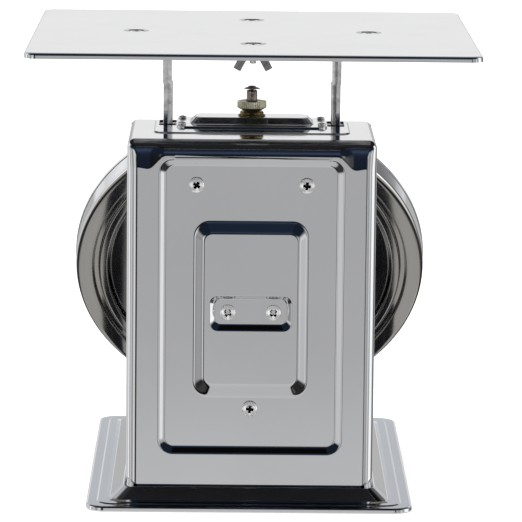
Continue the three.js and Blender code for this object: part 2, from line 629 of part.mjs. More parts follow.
function dialPlate() {
  const top = DIAL_PLATE_Z + 1;
  return turned([[DIAL_HOLE_R, DIAL_PLATE_Z], [DIAL_PLATE_R, DIAL_PLATE_Z], [DIAL_PLATE_R, top],
    [DIAL_HOLE_R, top]], DIAL_SEGMENTS);
}

function dialGlass() {
  return turned([[0, GLASS_Z], [GLASS_R, GLASS_Z], [GLASS_R, GLASS_Z + GLASS_THICK],
    [0, GLASS_Z + GLASS_THICK]], DIAL_SEGMENTS);
}

// Bezel that holds the glass: a rounded ring over the open edge of the case.
function dialBezel() {
  const seat = CASE_DEPTH + GAP;
  const lip = GLASS_Z + GLASS_THICK + GAP;
  const outer = CASE_R + 0.4;
  return turned([[97, seat], [outer, seat], [outer, BEZEL_TOP - 2.2], [outer - 1.2, BEZEL_TOP - 0.6],
    [96.6, BEZEL_TOP], [93.6, BEZEL_TOP - 0.4], [91.8, lip + 0.7], [91.8, lip], [97, lip]],
  DIAL_SEGMENTS);
}

function pointer() {
  const blade = new THREE.Shape([
    new THREE.Vector2(-1.6, -22), new THREE.Vector2(1.6, -22), new THREE.Vector2(2.6, -6),
    new THREE.Vector2(2.2, 10), new THREE.Vector2(0.35, 80), new THREE.Vector2(-0.35, 80),
    new THREE.Vector2(-2.2, 10), new THREE.Vector2(-2.6, -6)]);
  const plate = new THREE.ExtrudeGeometry(blade, { depth: POINTER_THICK, bevelEnabled: false })
    .translate(0, 0, POINTER_Z);
  return cut(join(plate, rod(5, POINTER_Z, POINTER_Z + POINTER_THICK, 18)), rod(PIVOT_BORE_R, 0, 20, 12));
}

function pointerCap() {
  const seat = POINTER_Z + POINTER_THICK + GAP;
  return turned([[PIVOT_BORE_R, seat], [4.2, seat], [4.2, seat + 1.3], [3.4, seat + 3.1],
    [0, seat + 3.7], [0, seat + 1.3], [PIVOT_BORE_R, seat + 1.3]], 16);
}

// ---------------------------------------------------------------- assembly
const scale = new THREE.Group();
const dialSide = new THREE.Group();
dialSide.applyMatrix4(DIAL_FRAME);
scale.add(dialSide);

function add(name, geometry, material, parent = scale) {
  const mesh = new THREE.Mesh(geometry, material());
  mesh.name = name;
  parent.add(mesh);
  return mesh;
}

add('base_plate', basePlate(), STAINLESS);
[[-50, -70], [50, -70], [50, 96], [-50, 96]].forEach(([x, y], i) => {
  add(`rubber_foot_${i + 1}`, rubberFoot(), BLACK_RUBBER).position.set(x, y, 0);
});
add('rear_housing', rearHousing(), STAINLESS);
add('front_panel', frontPanel(), STAINLESS, dialSide);

rearScrewPlaces().forEach(({ name, x, z, depth }) => {
  const mesh = add(name, panScrew(4.15, 2.4, SHANK_R, 5.6), ZINC);
  mesh.position.set(x, BODY_BACK + depth - GAP, z);
  mesh.rotation.x = Math.PI / 2;
});

add('adjuster_cover', adjusterCover(), STAINLESS);
coverScrewPlaces().forEach(([x, y], i) => {
  add(`cover_screw_${i + 1}`, panScrew(2.3, 1.5, 1, 4, 10), ZINC)
    .position.set(x, y, COVER_Z + COVER_T + GAP);
});
add('adjuster_collar', adjusterCollar(), BRASS).position.y = LOAD_Y;
add('adjuster_nut', adjusterNut(), BRASS).position.y = LOAD_Y;
add('adjuster_spindle', adjusterSpindle(), BRONZE).position.y = LOAD_Y;
add('spring_hanger', springHanger(), ZINC);
[['spring_left', -SPRING_X], ['spring_right', SPRING_X]].forEach(([name, x]) => {
  add(name, spring(), SPRING_STEEL).position.set(x, LOAD_Y, 0);
});

add('platform', platform(), STAINLESS);
add('spider', spider(), ZINC);
platformScrewPlaces().forEach(([x, y], i) => {
  add(`platform_screw_${i + 1}`, countersunkScrew(3.9, SHANK_R, 9.9), ZINC)
    .position.set(x, y, PLATE_TOP - DIMPLE_DEPTH + GAP + 1.3);
  add(`wing_nut_${i + 1}`, wingNut(), ZINC)
    .position.set(x, y, SPIDER_TOP - SPIDER_THICK - GAP);
});
[['post_left', -1], ['post_right', 1]].forEach(([name, side]) => {
  add(name, post(side), ZINC);
});
add('stirrup', stirrup(), ZINC);
add('damper_piston', damperPiston(), ZINC);
add('damper_cylinder', damperCylinder(), ZINC);

add('upper_bracket', bracket([[-34, 34, 142, 182]], LINK_UPPER_Z,
  [-1, 1].map(side => [side * FRAME_SCREW_TOP.x, FRAME_SCREW_TOP.z])), ZINC);
add('lower_bracket', bracket([[-34, 34, 44, 60.5], [-34, -24, 44, 100], [24, 34, 44, 100]],
  LINK_LOWER_Z, [[0, FRAME_SCREW_LOW_Z]]), ZINC);
[['upper', LINK_UPPER_Z], ['lower', LINK_LOWER_Z]].forEach(([level, pivotZ]) => {
  add(`${level}_link_pin`, linkPin(pivotZ), ZINC);
  [['left', -1], ['right', 1]].forEach(([name, side]) => {
    add(`${level}_link_${name}`, checkLink(side, pivotZ), ZINC);
    add(`${level}_link_stud_${name}`, linkStud(side, pivotZ), ZINC);
  });
});

add('dial_bridge', dialBridge(), ZINC, dialSide);
add('pinion_bush', pinionBush(), BRASS, dialSide);
add('pinion', pinion(), BRASS, dialSide);
add('rack', rack(), BRASS, dialSide);
add('dial_case', dialCase(), STAINLESS, dialSide);
add('dial_plate', dialPlate(), WHITE_ENAMEL, dialSide);
add('pointer', pointer(), RED_PAINT, dialSide);
add('pointer_cap', pointerCap(), BLACK_RUBBER, dialSide);
add('dial_glass', dialGlass(), CLEAR_GLASS, dialSide);
add('dial_bezel', dialBezel(), STAINLESS, dialSide);

export default scale;
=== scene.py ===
"""Looks of a spring-dial platform scale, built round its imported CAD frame.

Metres, +Z up. The plain back of the scale faces -Y, towards the camera, and the dial faces +Y.
"""
import json
import math
import random

import bmesh
import bpy
from mathutils import Matrix, Vector
from mathutils.geometry import tessellate_polygon

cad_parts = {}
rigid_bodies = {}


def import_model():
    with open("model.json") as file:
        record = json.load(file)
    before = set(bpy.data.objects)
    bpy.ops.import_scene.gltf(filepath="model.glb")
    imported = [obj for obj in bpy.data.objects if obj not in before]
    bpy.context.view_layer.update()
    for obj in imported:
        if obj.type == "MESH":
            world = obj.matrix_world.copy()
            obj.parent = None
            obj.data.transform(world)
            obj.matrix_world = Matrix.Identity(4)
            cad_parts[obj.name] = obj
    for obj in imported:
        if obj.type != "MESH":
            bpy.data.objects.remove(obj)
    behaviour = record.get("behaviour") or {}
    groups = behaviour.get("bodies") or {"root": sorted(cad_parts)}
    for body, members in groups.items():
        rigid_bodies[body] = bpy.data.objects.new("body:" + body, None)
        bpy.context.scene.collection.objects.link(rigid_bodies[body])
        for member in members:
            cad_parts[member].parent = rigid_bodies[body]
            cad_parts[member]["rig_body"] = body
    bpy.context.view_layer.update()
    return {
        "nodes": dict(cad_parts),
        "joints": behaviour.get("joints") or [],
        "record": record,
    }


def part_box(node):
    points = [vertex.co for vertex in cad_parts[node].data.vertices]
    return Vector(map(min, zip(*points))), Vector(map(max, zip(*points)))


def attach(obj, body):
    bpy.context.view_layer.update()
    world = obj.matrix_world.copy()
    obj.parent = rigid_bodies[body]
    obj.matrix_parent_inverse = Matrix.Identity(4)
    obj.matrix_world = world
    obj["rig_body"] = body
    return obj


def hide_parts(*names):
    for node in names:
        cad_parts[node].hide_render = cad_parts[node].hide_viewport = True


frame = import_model()
MM = 0.001
SHEET = 1.2 * MM
SCENE = bpy.context.scene
random.seed(7)


# ---------------------------------------------------------------- node materials
class Shader:
    """A Principled material with short helpers for the nodes that feed it."""

    def __init__(self, name):
        self.material = bpy.data.materials.new(name)
        self.material.use_nodes = True
        self.tree = self.material.node_tree
        self.bsdf = self.tree.nodes["Principled BSDF"]
        self.coords = self.tree.nodes.new("ShaderNodeTexCoord").outputs["Object"]

    def node(self, kind, **inputs):
        node = self.tree.nodes.new(kind)
        for key, value in inputs.items():
            self.feed(node.inputs[key.replace("_", " ")], value)
        return node

    def feed(self, socket, value):
        if isinstance(value, bpy.types.NodeSocket):
            self.tree.links.new(value, socket)
        else:
            socket.default_value = value

    def mapped(self, scale):
        """The object's coordinates, stretched by a scale for each axis."""
        return self.node("ShaderNodeMapping", Vector=self.coords, Scale=scale).outputs["Vector"]

    def noise(self, scale, detail=3.0, vector=None, distortion=0.0):
        node = self.node("ShaderNodeTexNoise", Vector=vector or self.coords, Scale=scale,
                         Detail=detail, Distortion=distortion)
        return node.outputs["Fac"]

    def spread(self, value, low, high, start=0.3, end=0.7):
        """Maps a 0..1 texture to the range low..high."""
        node = self.node("ShaderNodeMapRange")
        for index, number in enumerate((value, start, end, low, high)):
            self.feed(node.inputs[index], number)
        return node.outputs["Result"]

    def math(self, operation, first, second=0.0):
        node = self.tree.nodes.new("ShaderNodeMath")
        node.operation = operation
        self.feed(node.inputs[0], first)
        self.feed(node.inputs[1], second)
        return node.outputs["Value"]

    def mix(self, factor, first, second):
        node = self.tree.nodes.new("ShaderNodeMix")
        node.data_type = "RGBA"
        self.feed(node.inputs["Factor"], factor)
        self.feed(node.inputs["A"], (*first, 1) if isinstance(first, tuple) else first)
        self.feed(node.inputs["B"], (*second, 1) if isinstance(second, tuple) else second)
        return node.outputs["Result"]

    def bump(self, height, distance, strength=1.0, normal=None):
        node = self.node("ShaderNodeBump", Height=height, Distance=distance, Strength=strength)
        if normal is not None:
            self.feed(node.inputs["Normal"], normal)
        return node.outputs["Normal"]

    def set(self, **inputs):
        for key, value in inputs.items():
            self.feed(self.bsdf.inputs[key.replace("_", " ")], value)
        return self


def polished_stainless():
    """Mirror-polished sheet: faint polishing lines, smudges and a slow waviness."""
    s = Shader("polished_stainless")
    light = (0.80, 0.805, 0.82)
    rough = 0.055
    smudge = s.noise(38, 5, distortion=0.6)
    lines = s.noise(160, 2, vector=s.mapped((1, 1, 26)))
    tone = s.mix(s.spread(s.noise(14, 4), 0, 1), light, tuple(c * 0.965 for c in light))
    roughness = s.math("ADD", s.spread(smudge, rough, rough * 1.7, 0.45, 0.75),
                       s.spread(lines, 0, 0.018, 0.5, 0.8))
    wave = s.bump(s.noise(9, 2), 0.00012, 0.22)
    s.set(Base_Color=tone, Metallic=1.0, Roughness=roughness, Normal=s.bump(lines, 2e-6, 0.15, wave))
    return s.material


def spun_steel():
    """Back of the dial case: spun, so its lines run round the dial's axis."""
    s = Shader("spun_steel")
    radius = s.tree.nodes.new("ShaderNodeAttribute")
    radius.attribute_name = "turn_radius"
    stretched = s.node("ShaderNodeCombineXYZ", X=radius.outputs["Fac"])
    rings = s.noise(900, 4, vector=stretched.outputs["Vector"])
    broad = s.noise(130, 2, vector=stretched.outputs["Vector"])
    outer_tone = s.mix(s.spread(broad, 0, 1), (0.54, 0.525, 0.50), (0.46, 0.445, 0.42))
    # painted shade: inside a radius of about 80 mm the back is painted darker, standing in for the darker
    # reflection of its inner dish
    inner_painted_shade = s.mix(s.spread(s.noise(30, 4), 0, 1), (0.40, 0.39, 0.372), (0.30, 0.29, 0.275))
    tone = s.mix(s.spread(radius.outputs["Fac"], 0, 1, 0.0790, 0.0815), inner_painted_shade, outer_tone)
    roughness = s.math("ADD", s.spread(rings, 0.05, 0.09), s.spread(s.noise(45, 4), 0, 0.04))
    s.set(Base_Color=tone, Metallic=1.0, Roughness=roughness, Normal=s.bump(rings, 1.5e-6, 0.2))
    return s.material


def zinc_steel(name="zinc_steel", light=(0.66, 0.665, 0.67), dark=(0.36, 0.37, 0.385), grain=1500,
               rough=0.2, metal=1.0):
    """Zinc-plated steel: mottled, with a fine grain that catches the light."""
    s = Shader(name)
    blotch = s.noise(220, 5, distortion=0.4)
    speckle = s.noise(grain, 3)
    tone = s.mix(s.spread(blotch, 0, 1, 0.35, 0.68), light, dark)
    s.set(Base_Color=tone, Metallic=metal, Roughness=s.spread(speckle, rough, rough * 2.2),
          Normal=s.bump(speckle, rough * 3e-4, 0.5, s.bump(blotch, rough * 5e-4, 0.35)))
    return s.material


def brass(name="brass", light=(0.86, 0.80, 0.56), dark=(0.60, 0.51, 0.27), rough=0.2):
    s = Shader(name)
    stain = s.noise(420, 5, distortion=0.5)
    turning = s.noise(900, 2, vector=s.mapped((0.1, 0.1, 4)))
    tone = s.mix(s.spread(stain, 0, 1, 0.45, 0.72), light, dark)
    s.set(Base_Color=tone, Metallic=1.0, Roughness=s.spread(stain, rough, rough + 0.18),
          Normal=s.bump(turning, 1.5e-5, 0.4))
    return s.material


def spring_steel():
    s = Shader("spring_steel")
    draw = s.noise(700, 3, vector=s.mapped((1, 1, 0.2)))
    tone = s.mix(s.spread(draw, 0, 1), (0.46, 0.47, 0.5), (0.30, 0.305, 0.33))
    s.set(Base_Color=tone, Metallic=1.0, Roughness=s.spread(draw, 0.22, 0.38),
          Normal=s.bump(draw, 3e-5, 0.4))
    return s.material


def enamel():
    """White dial enamel with a faint orange peel and age tint."""
    s = Shader("dial_enamel")
    tone = s.mix(s.spread(s.noise(22, 4), 0, 1), (0.90, 0.90, 0.87), (0.86, 0.855, 0.82))
    s.set(Base_Color=tone, Roughness=s.spread(s.noise(60, 3), 0.28, 0.4),
          Normal=s.bump(s.noise(900, 2), 2e-5, 0.25), Coat_Weight=0.25, Coat_Roughness=0.2)
    return s.material


def paint(name, light, dark, rough=0.35):
    s = Shader(name)
    tone = s.mix(s.spread(s.noise(300, 4), 0, 1), light, dark)
    s.set(Base_Color=tone, Roughness=s.spread(s.noise(150, 3), rough, rough + 0.14),
          Normal=s.bump(s.noise(1400, 2), 2e-5, 0.3))
    return s.material


def rubber():
    s = Shader("rubber")
    tone = s.mix(s.spread(s.noise(260, 4), 0, 1), (0.022, 0.022, 0.023), (0.05, 0.048, 0.046))
    s.set(Base_Color=tone, Roughness=s.spread(s.noise(500, 3), 0.68, 0.88),
          Normal=s.bump(s.noise(2200, 2), 6e-5, 0.5))
    return s.material


def clear_glass():
    s = Shader("clear_glass")
    s.set(Base_Color=(0.97, 0.985, 0.98, 1), Roughness=s.spread(s.noise(20, 4), 0.0, 0.03, 0.5, 0.9),
          Transmission_Weight=1.0, IOR=1.45)
    return s.material


def mill_stainless():
    """Unpolished underside of the platform: dull rolled sheet, with painted shade that darkens it towards
    its rim.
    """
    s = Shader("mill_stainless")
    split = s.node("ShaderNodeSeparateXYZ", Vector=s.coords)
    x, y = split.outputs[0], s.math("ADD", split.outputs[1], 0.016)
    reach = s.math("MAXIMUM", s.math("ABSOLUTE", x), s.math("ABSOLUTE", y))
    rolled = s.spread(s.noise(90, 3, vector=s.mapped((1, 14, 1))), 0, 1)
    middle = s.mix(rolled, (0.78, 0.78, 0.785), (0.66, 0.66, 0.67))
    # painted shade: the underside goes near black towards the rim, set by position rather than by light
    tone = s.mix(s.spread(reach, 0, 1, 0.060, 0.073), middle, (0.04, 0.04, 0.045))
    s.set(Base_Color=tone, Metallic=1.0, Roughness=s.spread(rolled, 0.22, 0.32))
    return s.material


MAT = {
    "polished_stainless": polished_stainless(),
    "mill_stainless": mill_stainless(),
    "spun_steel": spun_steel(),
    "zinc_steel": zinc_steel(),
    "screw_steel": zinc_steel("screw_steel", (0.97, 0.97, 0.96), (0.80, 0.80, 0.79), 2600, 0.07, 0.62),
    # painted shade for the inside of the screws' cross recesses
    "recess_painted_shade": zinc_steel("recess_painted_shade", (0.07, 0.07, 0.072), (0.03, 0.03, 0.031), 2600, 0.3),
    "post_steel": zinc_steel("post_steel", (0.98, 0.98, 0.985), (0.6, 0.6, 0.62), 1300, 0.08),
    "brass": brass("brass", (0.95, 0.92, 0.72), (0.80, 0.74, 0.50), 0.26),
    "bronze": brass("bronze", (0.36, 0.31, 0.28), (0.16, 0.12, 0.10), 0.14),
    "dark_brass": brass("dark_brass", (0.36, 0.27, 0.13), (0.10, 0.06, 0.03), 0.14),
    "spring_steel": spring_steel(),
    "dial_enamel": enamel(),
    "dial_ink": paint("dial_ink", (0.02, 0.02, 0.022), (0.04, 0.04, 0.042), 0.4),
    "pointer_paint": paint("pointer_paint", (0.62, 0.045, 0.035), (0.5, 0.03, 0.03)),
    "black_plastic": paint("black_plastic", (0.025, 0.025, 0.027), (0.04, 0.04, 0.042), 0.25),
    "glass": clear_glass(),
    "rubber": rubber(),
}


# ---------------------------------------------------------------- mesh building
def arc_fillets(points, radii, steps=6):
    """A 2-D outline whose inner corners are rounded, each with its own radius."""
    out = [Vector(points[0])]
    for before, corner, after, radius in zip(points, points[1:], points[2:], radii):
        p, a, b = Vector(corner), Vector(before) - Vector(corner), Vector(after) - Vector(corner)
        turn = a.angle(b)
        if radius <= 0 or turn > math.pi - 1e-3:
            out.append(p)
            continue
        reach = min(radius / math.tan(turn / 2), a.length * 0.49, b.length * 0.49)
        start, end = p + a.normalized() * reach, p + b.normalized() * reach
        for i in range(steps + 1):
            t = i / steps
            out.append(start.lerp(p, t).lerp(p.lerp(end, t), t))
    out.append(Vector(points[-1]))
    return out


def rounded_rect(x0, x1, y0, y1, radius, steps=10, levels=(), columns=()):
    """Points of a rounded rectangle, anticlockwise; always the same number for the same steps.
    levels are rising heights of extra points on its two upright sides, columns are extra points
    along its upper side, from left to right."""
    radius = max(radius, 1e-7)
    corners = ((x1 - radius, y0 + radius, -90), (x1 - radius, y1 - radius, 0),
               (x0 + radius, y1 - radius, 90), (x0 + radius, y0 + radius, 180))
    points = []
    for cx, cy, start in corners:
        for i in range(steps + 1):
            angle = math.radians(start + 90 * i / steps)
            points.append((cx + radius * math.cos(angle), cy + radius * math.sin(angle)))
        if start in (-90, 90):
            side = x1 if start == -90 else x0
            for level in (levels if start == -90 else reversed(levels)):
                points.append((side, min(max(level, y0 + radius), y1 - radius)))
        if start == 0:
            points += [(min(max(x, x0 + radius), x1 - radius), y1) for x in reversed(columns)]
    return points


def s_curve(t, bend):
    """0..1 with a straight slope between two round ends, as a pressed step has."""
    slope = 1 / (1 - bend)
    if t < bend:
        return slope * t * t / (2 * bend)
    if t > 1 - bend:
        return 1 - slope * (1 - t) ** 2 / (2 * bend)
    return slope * (t - bend / 2)


def linked(name, data):
    obj = bpy.data.objects.new(name, data)
    SCENE.collection.objects.link(obj)
    return obj


def mesh_object(name, bm):
    mesh = bpy.data.meshes.new(name)
    bmesh.ops.recalc_face_normals(bm, faces=bm.faces)
    bm.to_mesh(mesh)
    bm.free()
    return linked(name, mesh)


def curve_mesh(curve, matrix=Matrix.Identity(4)):
    """The mesh that a curve makes, placed by a matrix."""
    holder = linked(curve.name, curve)
    bpy.context.view_layer.update()
    graph = bpy.context.evaluated_depsgraph_get()
    mesh = bpy.data.meshes.new_from_object(holder.evaluated_get(graph))
    mesh.transform(matrix)
    bpy.data.objects.remove(holder)
    return mesh


def add_rings(bm, rings, cap_first=False, cap_last=False, skip=None):
    """Faces between rings of equal count. skip(k, i) leaves out a face."""
    rows = [[bm.verts.new(p) for p in ring] for ring in rings]
    count = len(rows[0])
    for k, (a, b) in enumerate(zip(rows, rows[1:])):
        for i in range(count):
            j = (i + 1) % count
            if skip is None or not skip(k, i):
                bm.faces.new((a[i], a[j], b[j], b[i]))
    if cap_first:
        bm.faces.new(list(reversed(rows[0])))
    if cap_last:
        bm.faces.new(rows[-1])
    return rows


def baked(obj):
    """The object with its modifiers applied."""
    graph = bpy.context.evaluated_depsgraph_get()
    mesh = bpy.data.meshes.new_from_object(obj.evaluated_get(graph))
    mesh.name = obj.name
    obj.modifiers.clear()
    obj.data = mesh
    return obj


def modify(obj, kind, **settings):
    modifier = obj.modifiers.new(kind.title(), kind)
    for key, value in settings.items():
        setattr(modifier, key, value)
    return modifier


def shade(obj):
    """Smooth shading that leans to the larger faces and keeps marked edges sharp."""
    for polygon in obj.data.polygons:
        polygon.use_smooth = True
    modify(obj, "WEIGHTED_NORMAL", mode="FACE_AREA", weight=60, keep_sharp=True)
    return baked(obj)


def sharpen(obj, degrees=32):
    """Marks edges over an angle as sharp, so that flat facets stay flat."""
    bm = bmesh.new()
    bm.from_mesh(obj.data)
    limit = math.radians(degrees)
    for edge in bm.edges:
        edge.smooth = len(edge.link_faces) == 2 and edge.calc_face_angle(math.pi) < limit
    bm.to_mesh(obj.data)
    bm.free()
    return obj


def thicken(obj, thickness=SHEET):
    modify(obj, "SOLIDIFY", thickness=thickness, offset=-1, use_rim=True)
    return baked(obj)


def place(obj, body, material, slot, *nodes):
    """Material, body and the CAD nodes that a new piece stands for. The slot argument is not used."""
    obj.data.materials.clear()
    obj.data.materials.append(MAT[material])
    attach(obj, body)
    if nodes:
        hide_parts(*nodes)
    return obj


def turned(name, profile, segments=96, matrix=Matrix.Identity(4), ripple=None):
    """A body turned about the matrix's Z axis. profile is (radius, height) points, closed unless it
    starts and ends on the axis. ripple(angle, k) adds to the radius. Stores each point's radius."""
    bm = bmesh.new()
    layer = bm.verts.layers.float.new("turn_radius")
    rings = []
    for k, (radius, height) in enumerate(profile):
        ring = []
        for i in range(1 if radius < 1e-9 else segments):
            angle = math.tau * i / segments
            r = radius + (ripple(angle, k) if ripple and radius > 1e-9 else 0)
            vert = bm.verts.new(matrix @ Vector((r * math.cos(angle), r * math.sin(angle), height)))
            vert[layer] = radius
            ring.append(vert)
        rings.append(ring)
    closed = len(rings[0]) > 1
    for a, b in zip(rings, rings[1:] + ([rings[0]] if closed else [])):
        if not closed and b is rings[0]:
            continue
        for i in range(segments):
            j = (i + 1) % segments
            corners = [a[i % len(a)], a[j % len(a)], b[j % len(b)], b[i % len(b)]]
            unique = list(dict.fromkeys(corners))
            if len(unique) > 2:
                bm.faces.new(unique)
    return mesh_object(name, bm)


def refined(node, width=0.35 * MM, segments=2, material="zinc_steel"):
    """A finished copy of a CAD node: its facets merged to flats and its edges softly rounded."""
    source = frame["nodes"][node]
    bm = bmesh.new()
    bm.from_mesh(source.data)
    bmesh.ops.remove_doubles(bm, verts=bm.verts, dist=1e-6)
    bmesh.ops.dissolve_limit(bm, angle_limit=math.radians(1.5), verts=bm.verts, edges=bm.edges)
    obj = mesh_object(f"{node}_finished", bm)
    modify(obj, "BEVEL", width=width, segments=segments, limit_method="ANGLE",
           angle_limit=math.radians(28), use_clamp_overlap=True)
    baked(obj)
    shade(sharpen(obj, 40))
    slots = {row["node"]: row["material_slot"] for row in frame["record"]["subparts"]}
    return place(obj, source["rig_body"], material, slots[node], node)


# ---------------------------------------------------------------- sizes taken from the frame
HOUSE_LOW, HOUSE_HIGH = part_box("rear_housing")
BACK_Y = HOUSE_LOW.y
TOP_Z = HOUSE_HIGH.z
HALF_W = HOUSE_HIGH.x
PLATE_LOW, PLATE_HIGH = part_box("platform")
LOAD_Y = (PLATE_LOW.y + PLATE_HIGH.y) / 2
JOINTS = {joint["name"]: joint for joint in frame["joints"]}
DIAL_AXIS = -Vector(JOINTS["pointer_turn"]["axis"]).normalized()
DIAL_CENTRE = Vector(JOINTS["pointer_turn"]["pos_m"])
DIAL_UP = Vector((1, 0, 0)).cross(DIAL_AXIS)
DIAL = Matrix.Translation(DIAL_CENTRE) @ Matrix((
    (-1, DIAL_UP.x, DIAL_AXIS.x), (0, DIAL_UP.y, DIAL_AXIS.y), (0, DIAL_UP.z, DIAL_AXIS.z),
)).to_4x4()


def slope_y(z, out=0.0):
    """Y of a plane `out` in front of the sloping front, at height z."""
    slope = math.radians(30)
    return DIAL_CENTRE.y + (DIAL_CENTRE.z - z) * math.tan(slope) + out / math.cos(slope)


# ---------------------------------------------------------------- housing
BACK_BEND = 8.6 * MM
SIDE_BEND = 6 * MM
TOP_EDGE = 4 * MM
BEND_STEPS = 18
PANEL_STEPS = (  # half width, low z, high z, corner radius, depth; then the share of the step that bends
    ((19.3, 98.6, 112.3, 3.2, 2.2), (22.2, 95.2, 114.5, 4.6, 0.0), 0.12),
    ((25.0, 66.0, 147.8, 4.5, 0.0), (31.0, 58.5, 155.0, 8.5, 2.5), 0.22),
    ((45.8, 31.5, 184.6, 4.5, 2.5), (50.0, 27.3, 189.0, 8.5, 0.0), 0.22),
)
PLATEAU_HEIGHT = 0.6 * MM
BOTTOM_GAP = 0.9 * MM  # open seam above the base
CORNER_SLOPE = 0.14  # the sheet falls away early at the two upper corners of the back
CORNER_DROP = 7.0 * MM  # how far below the top bend it begins
CORNER_IN = 11.1 * MM  # from the side of the housing to where it begins lowest
CORNER_REACH = 10 * MM  # from there inwards to where it fades out
CORNER_SIDE = 5.1 * MM  # from there outwards to the side bend
CORNER_SOFT = 0.35 * MM  # length over which its slope sets in
# Extra points on the rings, so that they follow the two corners.
SIDE_LEVELS = [TOP_Z + (0.7 * i - 19) * MM for i in range(26)]
TOP_COLUMNS = sorted(side * (HALF_W - (6 + 0.9 * i) * MM) for side in (-1, 1) for i in range(23))


def ease(t):
    t = min(max(t, 0), 1)
    return t * t * (3 - 2 * t)


def corner_fall(x, z):
    """How far the sheet lies behind the flat of the back, near the upper corners."""
    beside = abs(x) - (HALF_W - CORNER_IN)
    if beside < 0:
        deep = 1 - ease(-beside / CORNER_REACH)
    else:
        deep = 1 - 0.1 * ease(beside / CORNER_SIDE)
    bend_start = TOP_Z - BACK_BEND
    rise = max(min(z, bend_start + 0.5 * BACK_BEND) - (bend_start - CORNER_DROP * deep), 0)
    fade = 1 - ease((z - bend_start) / BACK_BEND)
    fall = CORNER_SLOPE * (rise - CORNER_SOFT * (1 - math.exp(-rise / CORNER_SOFT)))
    return fall * fade * ease(deep / 0.3)


def back_ring(half, low, high, radius, depth):
    ring = []
    for x, z in rounded_rect(-half * MM, half * MM, low * MM, high * MM, radius * MM,
                             levels=SIDE_LEVELS, columns=TOP_COLUMNS):
        outside = ease((half - 45.8) / 4)
        ring.append(Vector((x, BACK_Y + depth * MM + corner_fall(x, z) * outside, z)))
    return ring


def step_rings(inner, outer, make, bend=0.22, count=12):
    """Rings of a pressed step between two outlines, with a flat support ring on either side."""
    def between(t, level):
        values = [a + (b - a) * t for a, b in zip(inner[:-1], outer[:-1])]
        return make(*values, level)
    rings = [between(-0.06, inner[-1])]
    for i in range(count + 1):
        t = i / count
        rings.append(between(t, inner[-1] + (outer[-1] - inner[-1]) * s_curve(t, bend)))
    rings.append(between(1.06, outer[-1]))
    return rings


def wrap_ring(turn, bottom):
    """Ring at an angle round the bends that join the back to the sides and top."""
    rise, run = math.sin(turn), 1 - math.cos(turn)
    half = HALF_W - SIDE_BEND * (1 - rise)
    top = TOP_Z - BACK_BEND * (1 - rise)
    ring = []
    radius = TOP_EDGE * rise + 0.3 * MM * (1 - rise)
    for x, z in rounded_rect(-half, half, bottom, top, radius, levels=SIDE_LEVELS, columns=TOP_COLUMNS):
        corner = min(max((z - (top - TOP_EDGE)) / TOP_EDGE, 0), 1)
        inward = min(max((abs(x) - (half - TOP_EDGE)) / TOP_EDGE, 0), 1)
        share = corner * (1 - 0.5 * inward) if corner > 0 else 0
        bend = SIDE_BEND + (BACK_BEND - SIDE_BEND) * share
        ring.append(Vector((x, BACK_Y + bend * run + corner_fall(x, z) * (1 - run), z)))
    return ring


def frame_rings(bottom, count=26):
    """Flat border between the outer pressed step and the bends."""
    step = back_ring(50.06, 27.25, 189.05, 8.5, 0)
    bend = wrap_ring(-0.02, bottom)
    rings = []
    for i in range(1, count):
        ring = []
        for a, b in zip(step, bend):
            p = a.lerp(b, i / count)
            p.y = BACK_Y + corner_fall(p.x, p.z)
            ring.append(p)
        rings.append(ring)
    return rings


def top_ring(half, front, back, radius, height):
    outline = rounded_rect(-half, half, -back, -front, radius, columns=TOP_COLUMNS)
    return [Vector((x, -y, TOP_Z + height)) for x, y in outline]


def back_rings(bottom):
    """Rings from the middle of the back, over its pressed steps, to the end of its bends."""
    rings = []
    for inner, outer, share in PANEL_STEPS:
        rings += step_rings(inner, outer, back_ring, share)
    rings += frame_rings(bottom)
    rings.append(wrap_ring(-0.02, bottom))
    return rings + [wrap_ring(math.pi / 2 * i / BEND_STEPS, bottom) for i in range(BEND_STEPS + 1)]


def side_rings(last):
    """The two sides, from the bends to the sloping front."""
    fronts = (lambda p: p.y + 0.4 * MM, lambda p: slope_y(p.z, -1.9 * MM), lambda p: slope_y(p.z, -1.5 * MM))
    return [[Vector((p.x, front(p), p.z)) for p in last] for front in fronts]


def top_face(bm, half, front_y):
    """Flat top with a low raised panel that the cover stands on."""
    outer = (53.8 * MM, -57.4 * MM, -1.4 * MM, 6 * MM, 0)
    inner = (52.4 * MM, -56.0 * MM, -2.8 * MM, 5 * MM, PLATEAU_HEIGHT)
    rings = [top_ring(half, front_y, slope_y(TOP_Z, -1.5 * MM), 0, 0)]
    rings += list(reversed(step_rings(inner, outer, top_ring, count=8)))
    add_rings(bm, rings, cap_last=True)


def cut_post_slots(obj):
    """Two slots in the top that the posts run through."""
    bm = bmesh.new()
    post_low, post_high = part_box("post_right")
    slot_x = (post_low.x + post_high.x) / 2 + 0.4 * MM
    for side in (-1, 1):
        outline = rounded_rect(side * slot_x - 4.7 * MM, side * slot_x + 4.7 * MM,
                               LOAD_Y - 11.5 * MM, LOAD_Y + 11.5 * MM, 1.2 * MM, 4)
        add_rings(bm, [[(x, y, TOP_Z + h) for x, y in outline] for h in (-5 * MM, 5 * MM)], True, True)
    cutter = mesh_object("slot_cutter", bm)
    modify(obj, "BOOLEAN", object=cutter, operation="DIFFERENCE", solver="EXACT")
    baked(obj)
    bpy.data.objects.remove(cutter)


